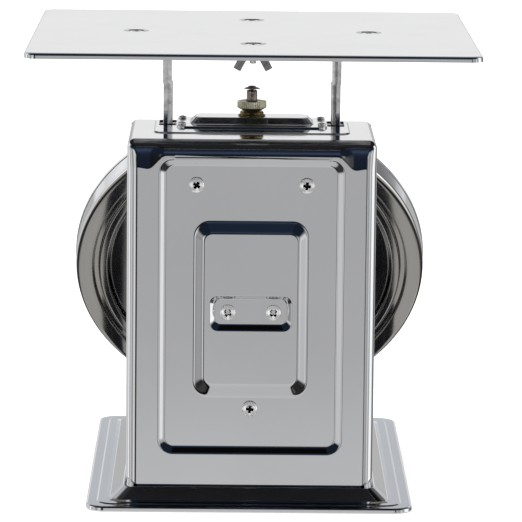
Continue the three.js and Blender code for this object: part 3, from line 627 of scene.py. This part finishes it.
def housing():
    rings = back_rings(HOUSE_LOW.z + BOTTOM_GAP)
    last = rings[-1]
    back_count = len(rings) - 1
    on_top = [abs(p.z - TOP_Z) < 1e-7 for p in last]
    top_points = [p for p, top in zip(last, on_top) if top]
    count = len(last)

    def skip(k, i):
        """Leaves the underside open, and the top to its own face."""
        top_segment = on_top[i] and on_top[(i + 1) % count]
        return (i == count - 1 and k >= back_count - BEND_STEPS) or (top_segment and k >= back_count)

    bm = bmesh.new()
    add_rings(bm, rings + side_rings(last), cap_first=True, skip=skip)
    top_face(bm, max(p.x for p in top_points), top_points[0].y)
    bmesh.ops.remove_doubles(bm, verts=bm.verts, dist=2e-6)
    obj = thicken(mesh_object("housing_shell", bm))
    cut_post_slots(obj)
    shade(sharpen(obj, 50))
    return place(obj, "housing", "polished_stainless", "polished_stainless", "rear_housing")


# ---------------------------------------------------------------- base
def base():
    low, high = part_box("base_plate")
    flange = 21 * MM
    x_in, y0, y1 = high.x - flange, low.y + flange, high.y - flange
    top, lip, foot = high.z, 2.7 * MM, low.z
    step = lip + 0.5 * MM
    profile = arc_fillets(
        [(-6 * MM, top), (1.2 * MM, top), (8.3 * MM, step + 0.4 * MM), (10.6 * MM, step), (14.6 * MM, step),
         (15.4 * MM, lip), (20.0 * MM, lip - 0.05 * MM), (flange, lip - 0.6 * MM), (flange, foot)],
        [1.6 * MM, 1.0 * MM, 0.8 * MM, 0.5 * MM, 0.5 * MM, 0.6 * MM, 0.7 * MM], 7)
    bm = bmesh.new()
    rings = []
    for offset, z in profile:
        radius = 6 * MM + 0.2 * offset
        outline = rounded_rect(-x_in - offset, x_in + offset, y0 - offset, y1 + offset, radius)
        rings.append([Vector((x, y, z)) for x, y in outline])
    add_rings(bm, rings, cap_first=True)
    obj = thicken(mesh_object("base_pan", bm), 1.0 * MM)
    shade(sharpen(obj, 60))
    return place(obj, "housing", "polished_stainless", "polished_stainless", "base_plate")


def feet():
    for i in range(1, 5):
        low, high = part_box(f"rubber_foot_{i}")
        centre = Matrix.Translation(((low.x + high.x) / 2, (low.y + high.y) / 2, 0))
        r, h = (high.x - low.x) / 2, high.z
        profile = arc_fillets([(0, 0), (2.4 * MM, 0), (2.4 * MM, 1.4 * MM), (3.4 * MM, 1.4 * MM),
                               (3.4 * MM, 0), (r - 0.6 * MM, 0), (r, h * 0.3), (r - 0.8 * MM, h), (0, h)],
                              [0.2 * MM, 0.2 * MM, 0.2 * MM, 0.3 * MM, 0.8 * MM, 1.5 * MM, 0.6 * MM], 3)
        obj = shade(turned(f"foot_{i}", profile, 40, centre))
        place(obj, "housing", "rubber", "rubber", f"rubber_foot_{i}")


# ---------------------------------------------------------------- platform
def platform():
    """Sheet with a rolled-down rim and four round dimples for its screws."""
    half = PLATE_HIGH.x
    y0, y1, top = PLATE_LOW.y, PLATE_HIGH.y, PLATE_HIGH.z
    profile = arc_fillets([(0, top - 3.0 * MM), (0, top - 0.2 * MM), (2.4 * MM, top)],
                          [1.5 * MM], 9)
    profile.append(Vector((3.2 * MM, top)))
    bm = bmesh.new()
    rings = []
    for inset, z in profile:
        outline = rounded_rect(-half + inset, half - inset, y0 + inset, y1 - inset, 6.7 * MM - inset * 0.8)
        rings.append([Vector((x, y, z)) for x, y in outline])
    rows = add_rings(bm, rings)
    loops = [rows[-1]]
    dish = arc_fillets([(8.6 * MM, 0), (7.2 * MM, 0), (4.9 * MM, -0.75 * MM), (2.4 * MM, -0.75 * MM)],
                       [3.0 * MM, 1.2 * MM], 7)
    for i in range(1, 5):
        low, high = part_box(f"platform_screw_{i}")
        cx, cy = (low.x + high.x) / 2, (low.y + high.y) / 2
        segments = 48
        dimple = [[Vector((cx + r * math.cos(math.tau * k / segments),
                           cy + r * math.sin(math.tau * k / segments), top + z))
                   for k in range(segments)] for r, z in dish]
        loops.append(add_rings(bm, dimple)[0])
    flat = [vert for loop in loops for vert in loop]
    for triangle in tessellate_polygon([[v.co for v in loop] for loop in loops]):
        bm.faces.new([flat[i] for i in triangle])
    obj = thicken(mesh_object("platform_sheet", bm), 1.1 * MM)
    shade(sharpen(obj, 60))
    place(obj, "load", "polished_stainless", "polished_stainless", "platform")
    obj.data.materials.append(MAT["mill_stainless"])
    for polygon in obj.data.polygons:
        if polygon.normal.z < -0.5 and polygon.center.z > top - 2 * MM:
            polygon.material_index = 1
    return obj


# ---------------------------------------------------------------- screws
REAR_HEAD = 2.4 * MM  # head heights
COVER_HEAD = 1.5 * MM
PLATFORM_LIFT = 0.4 * MM  # the platform screws stand higher than in the frame, in the dimples' floors


def cross_cutter(reach, blade, depth, matrix):
    """A cross recess that tapers inwards, opening towards the matrix's +Z."""
    bm = bmesh.new()
    mouth = (0.6 * depth, reach * 1.08, blade * 1.1)
    tip = (-depth, reach * 0.45, blade * 0.6)
    for turn in (0, 90):
        spin = Matrix.Rotation(math.radians(turn), 4, "Z")
        ends = []
        for z, length, width in (mouth, tip):
            ends.append([matrix @ spin @ Vector((x * length, y * width, z))
                         for x, y in ((-1, -1), (1, -1), (1, 1), (-1, 1))])
        add_rings(bm, ends, True, True)
    return mesh_object("cross_cutter", bm)


def screw_body(name, profile, head_radius, recess_z, matrix):
    """A turned screw with a cross recess that opens at recess_z."""
    obj = turned(name, profile, 40, matrix)
    cutter = cross_cutter(head_radius * 0.62, head_radius * 0.21, head_radius * 0.62,
                          matrix @ Matrix.Translation((0, 0, recess_z)) @ Matrix.Rotation(0.5, 4, "Z"))
    modify(obj, "BOOLEAN", object=cutter, operation="DIFFERENCE", solver="EXACT", use_self=True)
    baked(obj)
    bpy.data.objects.remove(cutter)
    return shade(sharpen(obj, 38))


def darken_recess(obj, head_radius, recess_z, matrix):
    """Gives the inside of the cross recess a rougher material painted near black, as painted shade."""
    obj.data.materials.append(MAT["recess_painted_shade"])
    inverse = matrix.inverted()
    for polygon in obj.data.polygons:
        local = inverse @ polygon.center
        below = recess_z - local.z
        beside = math.hypot(local.x, local.y)
        if beside < 0.64 * head_radius and 0.1 * head_radius < below < 0.8 * head_radius:
            polygon.material_index = 1
    return obj


def twisted(x, y, z):
    """An upright matrix at a point, turned by a random angle."""
    return Matrix.Translation((x, y, z)) @ Matrix.Rotation(random.uniform(0, math.tau), 4, "Z")


def pan_screw(name, matrix, head_radius, head_height, shank_radius, length):
    """Pan head standing on the matrix's z = 0, its shank along -Z."""
    r, h = head_radius, head_height
    dome = [(r * math.sin(a), h * (0.42 + 0.58 * math.cos(a)))
            for a in [math.radians(90 - 90 * i / 9) for i in range(9)]]
    profile = [(0, -length), (shank_radius * 0.7, -length), (shank_radius, -length + 0.4 * shank_radius),
               (shank_radius, 0), (r - 0.15 * MM, 0), (r, 0.15 * MM), *dome, (0, h)]
    return screw_body(name, profile, r, h, matrix)


def rear_screws():
    for name in ("frame_screw_1", "frame_screw_2", "frame_screw_3", "damper_screw_1", "damper_screw_2"):
        low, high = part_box(name)
        centre = (low + high) / 2
        head = high.x - centre.x
        seat_y = low.y + REAR_HEAD
        seat = Matrix.Translation((centre.x, seat_y, centre.z)) @ Matrix.Rotation(math.pi / 2, 4, "X")
        matrix = seat @ twisted(0, 0, 0)
        obj = pan_screw(f"{name}_head", matrix, head, REAR_HEAD, 1.9 * MM, high.y - seat_y)
        place(obj, "housing", "screw_steel", "zinc_steel", name)
        darken_recess(obj, head, REAR_HEAD, matrix)


def cover_screws():
    for i in range(1, 5):
        name = f"cover_screw_{i}"
        low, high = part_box(name)
        centre = (low + high) / 2
        head = high.x - centre.x
        seat_z = high.z - COVER_HEAD
        matrix = twisted(centre.x, centre.y, seat_z)
        obj = pan_screw(f"{name}_head", matrix, head, COVER_HEAD, 1.0 * MM, seat_z - low.z)
        place(obj, "housing", "screw_steel", "zinc_steel", name)
        darken_recess(obj, head, COVER_HEAD, matrix)


def thread_profile(radius, low, high, pitch=0.7 * MM):
    """Zigzag flanks of a thread, from low to high."""
    points = []
    turns = int((high - low) / pitch)
    for i in range(turns):
        z = low + i * pitch
        points += [(radius - 0.28 * MM, z), (radius, z + pitch * 0.45), (radius, z + pitch * 0.55)]
    return points


def platform_screws():
    for i in range(1, 5):
        name = f"platform_screw_{i}"
        low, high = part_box(name)
        centre = (low + high) / 2
        head = high.x - centre.x
        length = high.z - low.z + PLATFORM_LIFT
        shank = 1.9 * MM
        thread = thread_profile(shank, -length + 0.3 * MM, -2.2 * MM)
        profile = [(0, -length), (shank * 0.72, -length), *thread, (shank, -1.5 * MM),
                   (head - 0.2 * MM, -0.25 * MM), (head, -0.1 * MM),
                   (head - 0.2 * MM, 0), (0, 0)]
        matrix = twisted(centre.x, centre.y, high.z + PLATFORM_LIFT)
        obj = screw_body(f"{name}_body", profile, head, 0, matrix)
        place(obj, "load", "screw_steel", "zinc_steel", name)
        darken_recess(obj, head, 0.1 * MM, matrix)


# ---------------------------------------------------------------- cover and zero adjuster
def adjuster_cover():
    low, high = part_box("adjuster_cover")
    half_x, half_y = high.x, (high.y - low.y) / 2
    base_z = TOP_Z + PLATEAU_HEIGHT + 0.06 * MM
    plate_z = base_z + 0.85 * MM
    boss_z = high.z
    profile = arc_fillets(
        [(0, base_z), (0, plate_z), (7.2 * MM, plate_z), (10.6 * MM, boss_z), (15 * MM, boss_z)],
        [0.5 * MM, 1.2 * MM, 1.6 * MM], 7)
    bm = bmesh.new()
    rings = []
    for inset, z in profile:
        fold = min(inset / (7.2 * MM), 1)
        dx, dy = inset, inset + 1.6 * MM * fold
        outline = rounded_rect(-half_x + dx, half_x - dx, LOAD_Y - half_y + dy, LOAD_Y + half_y - dy,
                               max(5 * MM - inset * 0.1, 2 * MM))
        rings.append([Vector((x, y, z)) for x, y in outline])
    add_rings(bm, rings, cap_last=True)
    obj = thicken(mesh_object("adjuster_cover_plate", bm), 0.8 * MM)
    shade(sharpen(obj, 60))
    return place(obj, "housing", "polished_stainless", "polished_stainless", "adjuster_cover")


BORE = 3.4 * MM  # through the collar and the nut


def collar(axis):
    low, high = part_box("adjuster_collar")
    r, z0, z1 = high.x, low.z - 0.25 * MM, high.z
    profile = arc_fillets([(BORE, z0), (r, z0), (r, z0 + 0.5 * MM), (r - 1.1 * MM, z0 + 1.0 * MM),
                           (r - 0.9 * MM, z1 - 0.5 * MM), (r - 1.5 * MM, z1), (BORE, z1)],
                          [0.2 * MM, 0.3 * MM, 0.5 * MM, 0.4 * MM, 0.2 * MM], 4)
    obj = shade(sharpen(turned("collar", profile, 72, axis), 60))
    return place(obj, "housing", "dark_brass", "brass", "adjuster_collar")


def knurled_nut(axis):
    low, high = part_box("adjuster_nut")
    r, z0, z1 = high.x, low.z, high.z
    outline = [(BORE, z0), (5.0 * MM, z0), (r - 0.35 * MM, z0 + 1.6 * MM), (r, z0 + 1.9 * MM),
               (r, z1 - 0.35 * MM), (r - 0.3 * MM, z1), (6.4 * MM, z1), (6.0 * MM, z1 - 0.2 * MM),
               (BORE, z1 - 0.2 * MM)]
    ridges = 44

    def knurl(angle, k):
        """Grooves on the outline's two outermost points."""
        return -0.32 * MM * abs(math.sin(angle * ridges / 2)) if k in (3, 4) else 0

    obj = shade(sharpen(turned("knurled_nut", outline, ridges * 6, axis, knurl), 48))
    return place(obj, "adjuster_nut", "brass", "brass", "adjuster_nut")


def spindle(axis):
    """Stem with a groove under its thin mushroom cap."""
    low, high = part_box("adjuster_spindle")
    cap_r, z0, z1 = high.x, low.z, high.z
    stem = 3.0 * MM
    neck = 0.75 * MM
    shoulder = z1 - 2.4 * MM
    profile = arc_fillets(
        [(0, z0), (stem, z0), (stem, shoulder), (neck, shoulder + 0.05 * MM), (neck, shoulder + 1.0 * MM),
         (cap_r - 0.2 * MM, shoulder + 0.75 * MM), (cap_r, shoulder + 0.9 * MM),
         (cap_r - 0.4 * MM, shoulder + 1.15 * MM), (2.9 * MM, shoulder + 1.45 * MM), (1.5 * MM, z1),
         (0, z1)],
        [0.3 * MM, 0.9 * MM, 0.1 * MM, 0.3 * MM, 0.1 * MM, 0.1 * MM, 0.2 * MM, 0.5 * MM, 0.9 * MM], 6)
    obj = shade(sharpen(turned("spindle", profile, 64, axis), 60))
    return place(obj, "spring_hanger", "bronze", "bronze", "adjuster_spindle")


def adjuster():
    """Collar, knurled nut and spindle stand on the load's centre line."""
    axis = Matrix.Translation((0, LOAD_Y, 0))
    collar(axis)
    knurled_nut(axis)
    spindle(axis)


# ---------------------------------------------------------------- dial case, on the sloping front
def dial_case():
    rim = 100 * MM
    outside = arc_fillets(
        [(6, 0.3), (44, 0.3), (48, 3.4), (80.2, 3.4), (81.9, 0.7), (86.2, 0.7), (87.0, 2.3), (89.6, 2.3),
         (90.4, 0.3), (100, 0.3), (100, 13.4)],
        [2, 2.5, 1.2, 1.6, 1.6, 0.5, 0.5, 0.6, 3.4], 8)
    outer = [(p.x * MM, p.y * MM) for p in outside]
    inner = [(r - SHEET if h > 4 * MM or r > 98.5 * MM else r,
              h + SHEET if r <= 99 * MM and h < 6 * MM else h) for r, h in reversed(outer)]
    obj = turned("dial_case_pan", outer + inner, 160, DIAL)
    shade(sharpen(obj, 70))
    place(obj, "housing", "spun_steel", "polished_stainless", "dial_case")
    obj.data.materials.append(MAT["polished_stainless"])
    inverse = DIAL.inverted()
    for polygon in obj.data.polygons:
        local = inverse @ polygon.center
        if math.hypot(local.x, local.y) > rim - 2 * SHEET and local.z > 1.5 * MM:
            polygon.material_index = 1
    return obj


def bezel():
    profile = arc_fillets(
        [(97, 13.7), (100.4, 13.7), (100.4, 16.0), (98.8, 17.5), (96.2, 17.8), (93.4, 17.3), (91.6, 16.6),
         (91.6, 15.9), (97, 15.9), (97, 13.7)],
        [0.4, 1.2, 1.2, 1.2, 1.0, 0.3, 0.2, 0.3], 6)
    obj = turned("bezel_ring", [(p.x * MM, p.y * MM) for p in profile[:-1]], 160, DIAL)
    shade(sharpen(obj, 60))
    return place(obj, "housing", "polished_stainless", "polished_stainless", "dial_bezel")


def glass():
    profile = arc_fillets([(0, 14), (94, 14), (94, 15.6), (0, 15.6)], [0.4, 0.4], 3)
    obj = turned("dial_window", [(p.x * MM, p.y * MM) for p in profile], 96, DIAL)
    shade(sharpen(obj, 40))
    return place(obj, "housing", "glass", "glass", "dial_glass")


INK_LEVEL = 7.0 * MM  # top of the dial disc
INK = 0.06 * MM
DIAL_DIVISIONS = 200
MARK_END = 88 * MM


def dial_disc():
    profile = arc_fillets([(5.2, 6), (96, 6), (96, 7), (5.2, 7)], [0.2, 0.3], 3)
    obj = turned("dial_disc", [(p.x * MM, p.y * MM) for p in profile], 120, DIAL)
    shade(sharpen(obj, 40))
    return place(obj, "housing", "dial_enamel", "dial_enamel", "dial_plate")


def mark_size(k):
    """Inner radius and width of the dial's k-th mark."""
    if k % 20 == 0:
        return 76 * MM, 1.1 * MM
    if k % 10 == 0:
        return 79 * MM, 0.8 * MM
    if k % 2 == 0:
        return 83 * MM, 0.45 * MM
    return 85 * MM, 0.3 * MM


def dial_marks():
    bm = bmesh.new()
    for k in range(DIAL_DIVISIONS):
        spin = DIAL @ Matrix.Rotation(-math.tau * k / DIAL_DIVISIONS, 4, "Z")
        start, width = mark_size(k)
        corners = ((-1, start), (1, start), (1, MARK_END), (-1, MARK_END))
        ends = [[spin @ Vector((side * width / 2, y, z)) for side, y in corners]
                for z in (INK_LEVEL, INK_LEVEL + INK)]
        add_rings(bm, ends, True, True)
    place(mesh_object("dial_marks", bm), "housing", "dial_ink", "dial_enamel")
    start = MARK_END + 0.6 * MM
    end = start + 0.5 * MM
    track = turned("dial_track", [(start, INK_LEVEL), (end, INK_LEVEL), (end, INK_LEVEL + INK),
                                  (start, INK_LEVEL + INK)], 160, DIAL)
    place(shade(sharpen(track)), "housing", "dial_ink", "dial_enamel")


def dial_figure(number):
    """A raised figure, upright at its place round the dial."""
    curve = bpy.data.curves.new(f"figure_{number}", "FONT")
    curve.body = str(number)
    curve.size = 15 * MM
    curve.extrude = INK / 2
    curve.align_x = "CENTER"
    curve.align_y = "CENTER"
    angle = math.tau * number / 10
    matrix = (DIAL @ Matrix.Rotation(-angle, 4, "Z") @ Matrix.Translation((0, 66 * MM, INK_LEVEL + INK / 2))
              @ Matrix.Rotation(angle, 4, "Z"))
    figure = linked(f"dial_figure_{number}", curve_mesh(curve, matrix))
    place(figure, "housing", "dial_ink", "dial_enamel")


def dial_face():
    dial_disc()
    dial_marks()
    for number in range(10):
        dial_figure(number)


# ---------------------------------------------------------------- springs, posts and plain nodes
def springs():
    wire = 1.05 * MM
    coil = 7 * MM
    for node in ("spring_left", "spring_right"):
        low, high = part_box(node)
        centre = (low + high) / 2
        curve = bpy.data.curves.new(f"{node}_coil", "CURVE")
        curve.dimensions = "3D"
        curve.bevel_depth = wire
        curve.bevel_resolution = 3
        curve.use_fill_caps = True
        turns, steps = 16, 16
        spline = curve.splines.new("POLY")
        spline.points.add(turns * steps)
        for k, point in enumerate(spline.points):
            t = k / (turns * steps)
            angle = math.tau * turns * t
            z = low.z + wire + (high.z - low.z - 2 * wire) * t
            point.co = (centre.x + coil * math.cos(angle), centre.y + coil * math.sin(angle), z, 1)
        solid = shade(linked(f"{node}_wire", curve_mesh(curve)))
        place(solid, "spring_hanger", "spring_steel", "spring_steel", node)


def posts():
    """Flat bars with a sheared outer edge and a rolled inner one, stepped on the inner side."""
    step_down, step_in = 22.3 * MM, 0.6 * MM
    for node, side in (("post_left", -1), ("post_right", 1)):
        low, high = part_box(node)
        outer = max(abs(low.x), abs(high.x))
        inner = outer - 4.8 * MM
        levels = ((low.z, step_in, 1.0), (high.z - step_down - 0.3 * MM, step_in, 1.0),
                  (high.z - step_down + 0.3 * MM, 0, 0), (high.z - 9 * MM, 0, 0),
                  (high.z - 5 * MM, 0.25 * MM, 0), (high.z - 2.6 * MM, 0.9 * MM, 0),
                  (high.z - 1.5 * MM, 1.6 * MM, 0), (high.z, 1.6 * MM, 0))
        bm = bmesh.new()
        rings = []
        for z, inward, lower in levels:
            x_in = inner - inward
            x_out = outer - 0.35 * MM * lower
            middle = (x_in + x_out) / 2
            plan = arc_fillets(
                [(middle + 0.9 * MM, low.y), (x_out, low.y), (x_out, high.y), (x_in, high.y),
                 (x_in, low.y + 0.5 * MM), (middle + 0.2 * MM, low.y), (middle + 0.9 * MM, low.y)],
                [0.35 * MM, 0.35 * MM, 1.2 * MM, 1.1 * MM, 0.5 * MM], 5)[:-1]
            rings.append([Vector((side * p.x, p.y, z)) for p in plan])
        add_rings(bm, rings, True, True)
        obj = mesh_object(f"{node}_bar", bm)
        shade(sharpen(obj, 50))
        place(obj, "load", "post_steel", "zinc_steel", node)


def plain_nodes():
    """CAD nodes whose shape is right get rounded edges and a finish of their own."""
    for node in ("spider", "spring_hanger", "stirrup", "upper_bracket", "lower_bracket", "dial_bridge",
                 "damper_cylinder", "damper_piston"):
        refined(node, 0.4 * MM, 2)
    for level in ("upper", "lower"):
        refined(f"{level}_link_pin", 0.3 * MM)
        for side in ("left", "right"):
            refined(f"{level}_link_{side}", 0.3 * MM)
            refined(f"{level}_link_stud_{side}", 0.3 * MM)
    for i in range(1, 5):
        refined(f"wing_nut_{i}", 0.3 * MM, 3)
    for node in ("pinion", "rack", "pinion_bush"):
        refined(node, 0.1 * MM, 2, "brass")
    refined("front_panel", 0.3 * MM, 2, "polished_stainless")
    refined("pointer", 0.15 * MM, 2, "pointer_paint")
    refined("pointer_cap", 0.3 * MM, 3, "black_plastic")


# ---------------------------------------------------------------- studio
def floor():
    """Pale floor. It is left out of reflections, which come from the studio's light alone."""
    bm = bmesh.new()
    half = 3.0
    corners = ((-half, -half), (half, -half), (half, half), (-half, half))
    add_rings(bm, [[(x, y, z) for x, y in corners] for z in (-0.2 * MM, -2 * MM)], True, True)
    obj = mesh_object("floor", bm)
    s = Shader("pale_floor")
    tone = s.mix(s.spread(s.noise(3, 2), 0, 1), (0.93, 0.93, 0.93), (0.91, 0.91, 0.912))
    s.set(Base_Color=tone, Roughness=0.9, Emission_Color=(1, 1, 1, 1), Emission_Strength=0.4)
    obj.data.materials.append(s.material)
    obj.visible_glossy = False


class Sky:
    """World light by direction: what the polished steel reflects."""

    def __init__(self):
        world = bpy.data.worlds.new("studio")
        SCENE.world = world
        world.use_nodes = True
        self.tree = world.node_tree
        self.tree.nodes.clear()
        split = self.node("ShaderNodeSeparateXYZ")
        self.feed(split.inputs[0], self.node("ShaderNodeTexCoord").outputs["Generated"])
        x, y, z = split.outputs
        self.height = self.math("ADD", self.math("DIVIDE", self.math("ARCSINE", z), math.pi), 0.5)
        turn = self.math("ARCTAN2", x, self.math("MULTIPLY", y, -1.0))
        self.around = self.math("ADD", self.math("DIVIDE", turn, math.tau), 0.5)

    def node(self, kind, **settings):
        node = self.tree.nodes.new(kind)
        for key, value in settings.items():
            setattr(node, key, value)
        return node

    def math(self, operation, *values):
        node = self.node("ShaderNodeMath", operation=operation)
        for socket, value in zip(node.inputs, values):
            self.feed(socket, value)
        return node.outputs["Value"]

    def feed(self, socket, value):
        if isinstance(value, bpy.types.NodeSocket):
            self.tree.links.new(value, socket)
        else:
            socket.default_value = value

    def ramp(self, value, stops):
        """A colour by position; stops are (position, grey or colour)."""
        node = self.node("ShaderNodeValToRGB")
        elements = node.color_ramp.elements
        while len(elements) < len(stops):
            elements.new(0.5)
        for element, (position, colour) in zip(elements, stops):
            element.position = position
            rgb = (colour,) * 3 if isinstance(colour, (int, float)) else colour
            element.color = (*rgb, 1)
        self.feed(node.inputs["Fac"], value)
        return node.outputs["Color"]

    def by_height(self, *stops):
        """Light by elevation: degrees above the horizon."""
        return self.ramp(self.height, [((degrees + 90) / 180, colour) for degrees, colour in stops])

    def by_bearing(self, *stops):
        """Light by bearing: 0 towards the camera, -90 its left, 90 its right, 180 behind the scale."""
        return self.ramp(self.around, [((degrees + 180) / 360, colour) for degrees, colour in stops])

    def mix(self, factor, first, second, blend="MIX"):
        node = self.node("ShaderNodeMix", data_type="RGBA", blend_type=blend)
        self.feed(node.inputs["Factor"], factor)
        for key, value in (("A", first), ("B", second)):
            self.feed(node.inputs[key], (*value, 1) if isinstance(value, tuple) else value)
        return node.outputs["Result"]

    def times(self, first, second):
        return self.mix(1.0, first, second, "MULTIPLY")


def front_light(sky):
    """Towards the camera: a light table, a dark blue room above it, a dim ceiling."""
    return sky.by_height(
        (-60, 0.55), (-14, 0.60), (-11.6, 0.57), (-10.9, 0.475), (-2.5, 0.46), (-1.0, 0.004),
        (6, (0.008, 0.012, 0.022)), (12, (0.016, 0.024, 0.042)), (20, (0.045, 0.066, 0.11)),
        (32, (0.018, 0.027, 0.05)), (46, (0.009, 0.015, 0.027)), (52, (0.01, 0.016, 0.028)),
        (56, 0.003), (86, 0.003), (90, 0.24))


def back_light(sky):
    """Behind the scale: a white screen with a dark edge above it."""
    return sky.by_height(
        (-20, 0.50), (2.5, 0.50), (4.5, 0.88), (8.8, 0.88), (10.5, (0.56, 0.58, 0.61)),
        (16, (0.5, 0.52, 0.56)), (28, 0.75), (33, 0.06), (57, 0.04), (61, 0.003), (78, 0.003),
        (81, 0.20), (90, 0.24))


def side_light(sky):
    """On both sides: upright light panels with dark gaps between them."""
    height = sky.by_height(
        (-58, 0.8), (-50, 0.06), (-24, 0.06), (-15, 0.95), (-8, 1.0), (8, 0.9), (20, 1.2), (42, 0.9),
        (57, 0.06), (90, 0.01))
    panels = sky.by_bearing(
        (-152, 1.05), (-132, 0.70), (-104, 0.70), (-100, 1.15), (-90, 1.15), (-86, 0.30), (-80, 0.30),
        (-77, 0.68), (-64, 0.66), (-54, 0.30), (-46, 0.42), (-36, 0.86), (-26, 0.75), (-19, 0.01),
        (0, 0.01), (12, 0.08), (18, 0.08), (23, 0.72), (30, 0.30), (36, 0.50), (42, 0.30), (50, 0.86),
        (62, 0.45), (71, 0.44), (75, 1.2), (104, 1.2), (112, 0.40), (130, 0.08), (150, 0.3))
    near = sky.by_bearing((-84, 0), (-68, 1), (68, 1), (84, 0))
    overhead = sky.by_height((7, 0), (15, 1))
    return sky.mix(sky.times(near, overhead), sky.times(height, panels), (0.010, 0.016, 0.028))


def soft_lamp():
    light = bpy.data.lights.new("soft_top", "AREA")
    light.shape = "RECTANGLE"
    light.size = light.size_y = 1.6
    light.energy = 9
    lamp = linked("soft_top", light)
    lamp.location = (-0.5, -0.7, 1.8)
    lamp.rotation_euler = Vector((0.5, 0.75, -1.7)).to_track_quat("-Z", "Y").to_euler()
    lamp.visible_glossy = False


def studio():
    """Reflections see the three zones of light; matt surfaces and the camera see plain white."""
    sky = Sky()
    zones = (
        (front_light(sky), sky.by_bearing((-10, 0), (-7, 1), (9, 1), (12, 0))),
        (side_light(sky), sky.by_bearing((-152, 0), (-140, 1), (-10, 1), (-7, 0), (9, 0), (12, 1), (140, 1),
                                         (152, 0))),
        (back_light(sky), sky.by_bearing((-152, 1), (-140, 0), (140, 0), (152, 1))),
    )
    total = (0.0, 0.0, 0.0)
    for colour, weight in zones:
        total = sky.mix(1.0, total, sky.times(colour, weight), "ADD")
    mirror = sky.mix(sky.by_height((-66, 1.0), (-58, 0.0)), total, (0.55, 0.55, 0.55))
    path = sky.node("ShaderNodeLightPath")
    soft = sky.mix(path.outputs["Is Diffuse Ray"], mirror, (1.16, 1.165, 1.17))
    background = sky.node("ShaderNodeBackground")
    sky.feed(background.inputs["Color"], sky.mix(path.outputs["Is Camera Ray"], soft, (1.0, 1.0, 1.0)))
    output = sky.node("ShaderNodeOutputWorld")
    sky.feed(output.inputs["Surface"], background.outputs[0])
    soft_lamp()
    SCENE.view_settings.view_transform = "Standard"


def camera():
    """Long lens from behind the scale, a little above it, with a slight turn and lean."""
    data = bpy.data.cameras.new("camera")
    data.sensor_width = 36
    data.lens = 36 * 7.372
    data.clip_end = 20
    obj = linked("camera", data)
    yaw, pitch, roll = (math.radians(a) for a in (0.494, 9.26, 0.58))
    right = Vector((math.cos(yaw), -math.sin(yaw), 0))
    ahead = Vector((math.sin(yaw) * math.cos(pitch), math.cos(yaw) * math.cos(pitch), -math.sin(pitch)))
    up = right.cross(ahead)
    leaning_right = right * math.cos(roll) + up * math.sin(roll)
    leaning_up = up * math.cos(roll) - right * math.sin(roll)
    basis = Matrix((leaning_right, leaning_up, -ahead)).transposed().to_4x4()
    obj.matrix_world = Matrix.Translation((-0.0123, BACK_Y - 2.0402, 0.4663)) @ basis
    SCENE.camera = obj


camera()
studio()
floor()
housing()
base()
feet()
platform()
rear_screws()
cover_screws()
platform_screws()
adjuster_cover()
adjuster()
dial_case()
bezel()
glass()
dial_face()
springs()
posts()
plain_nodes()
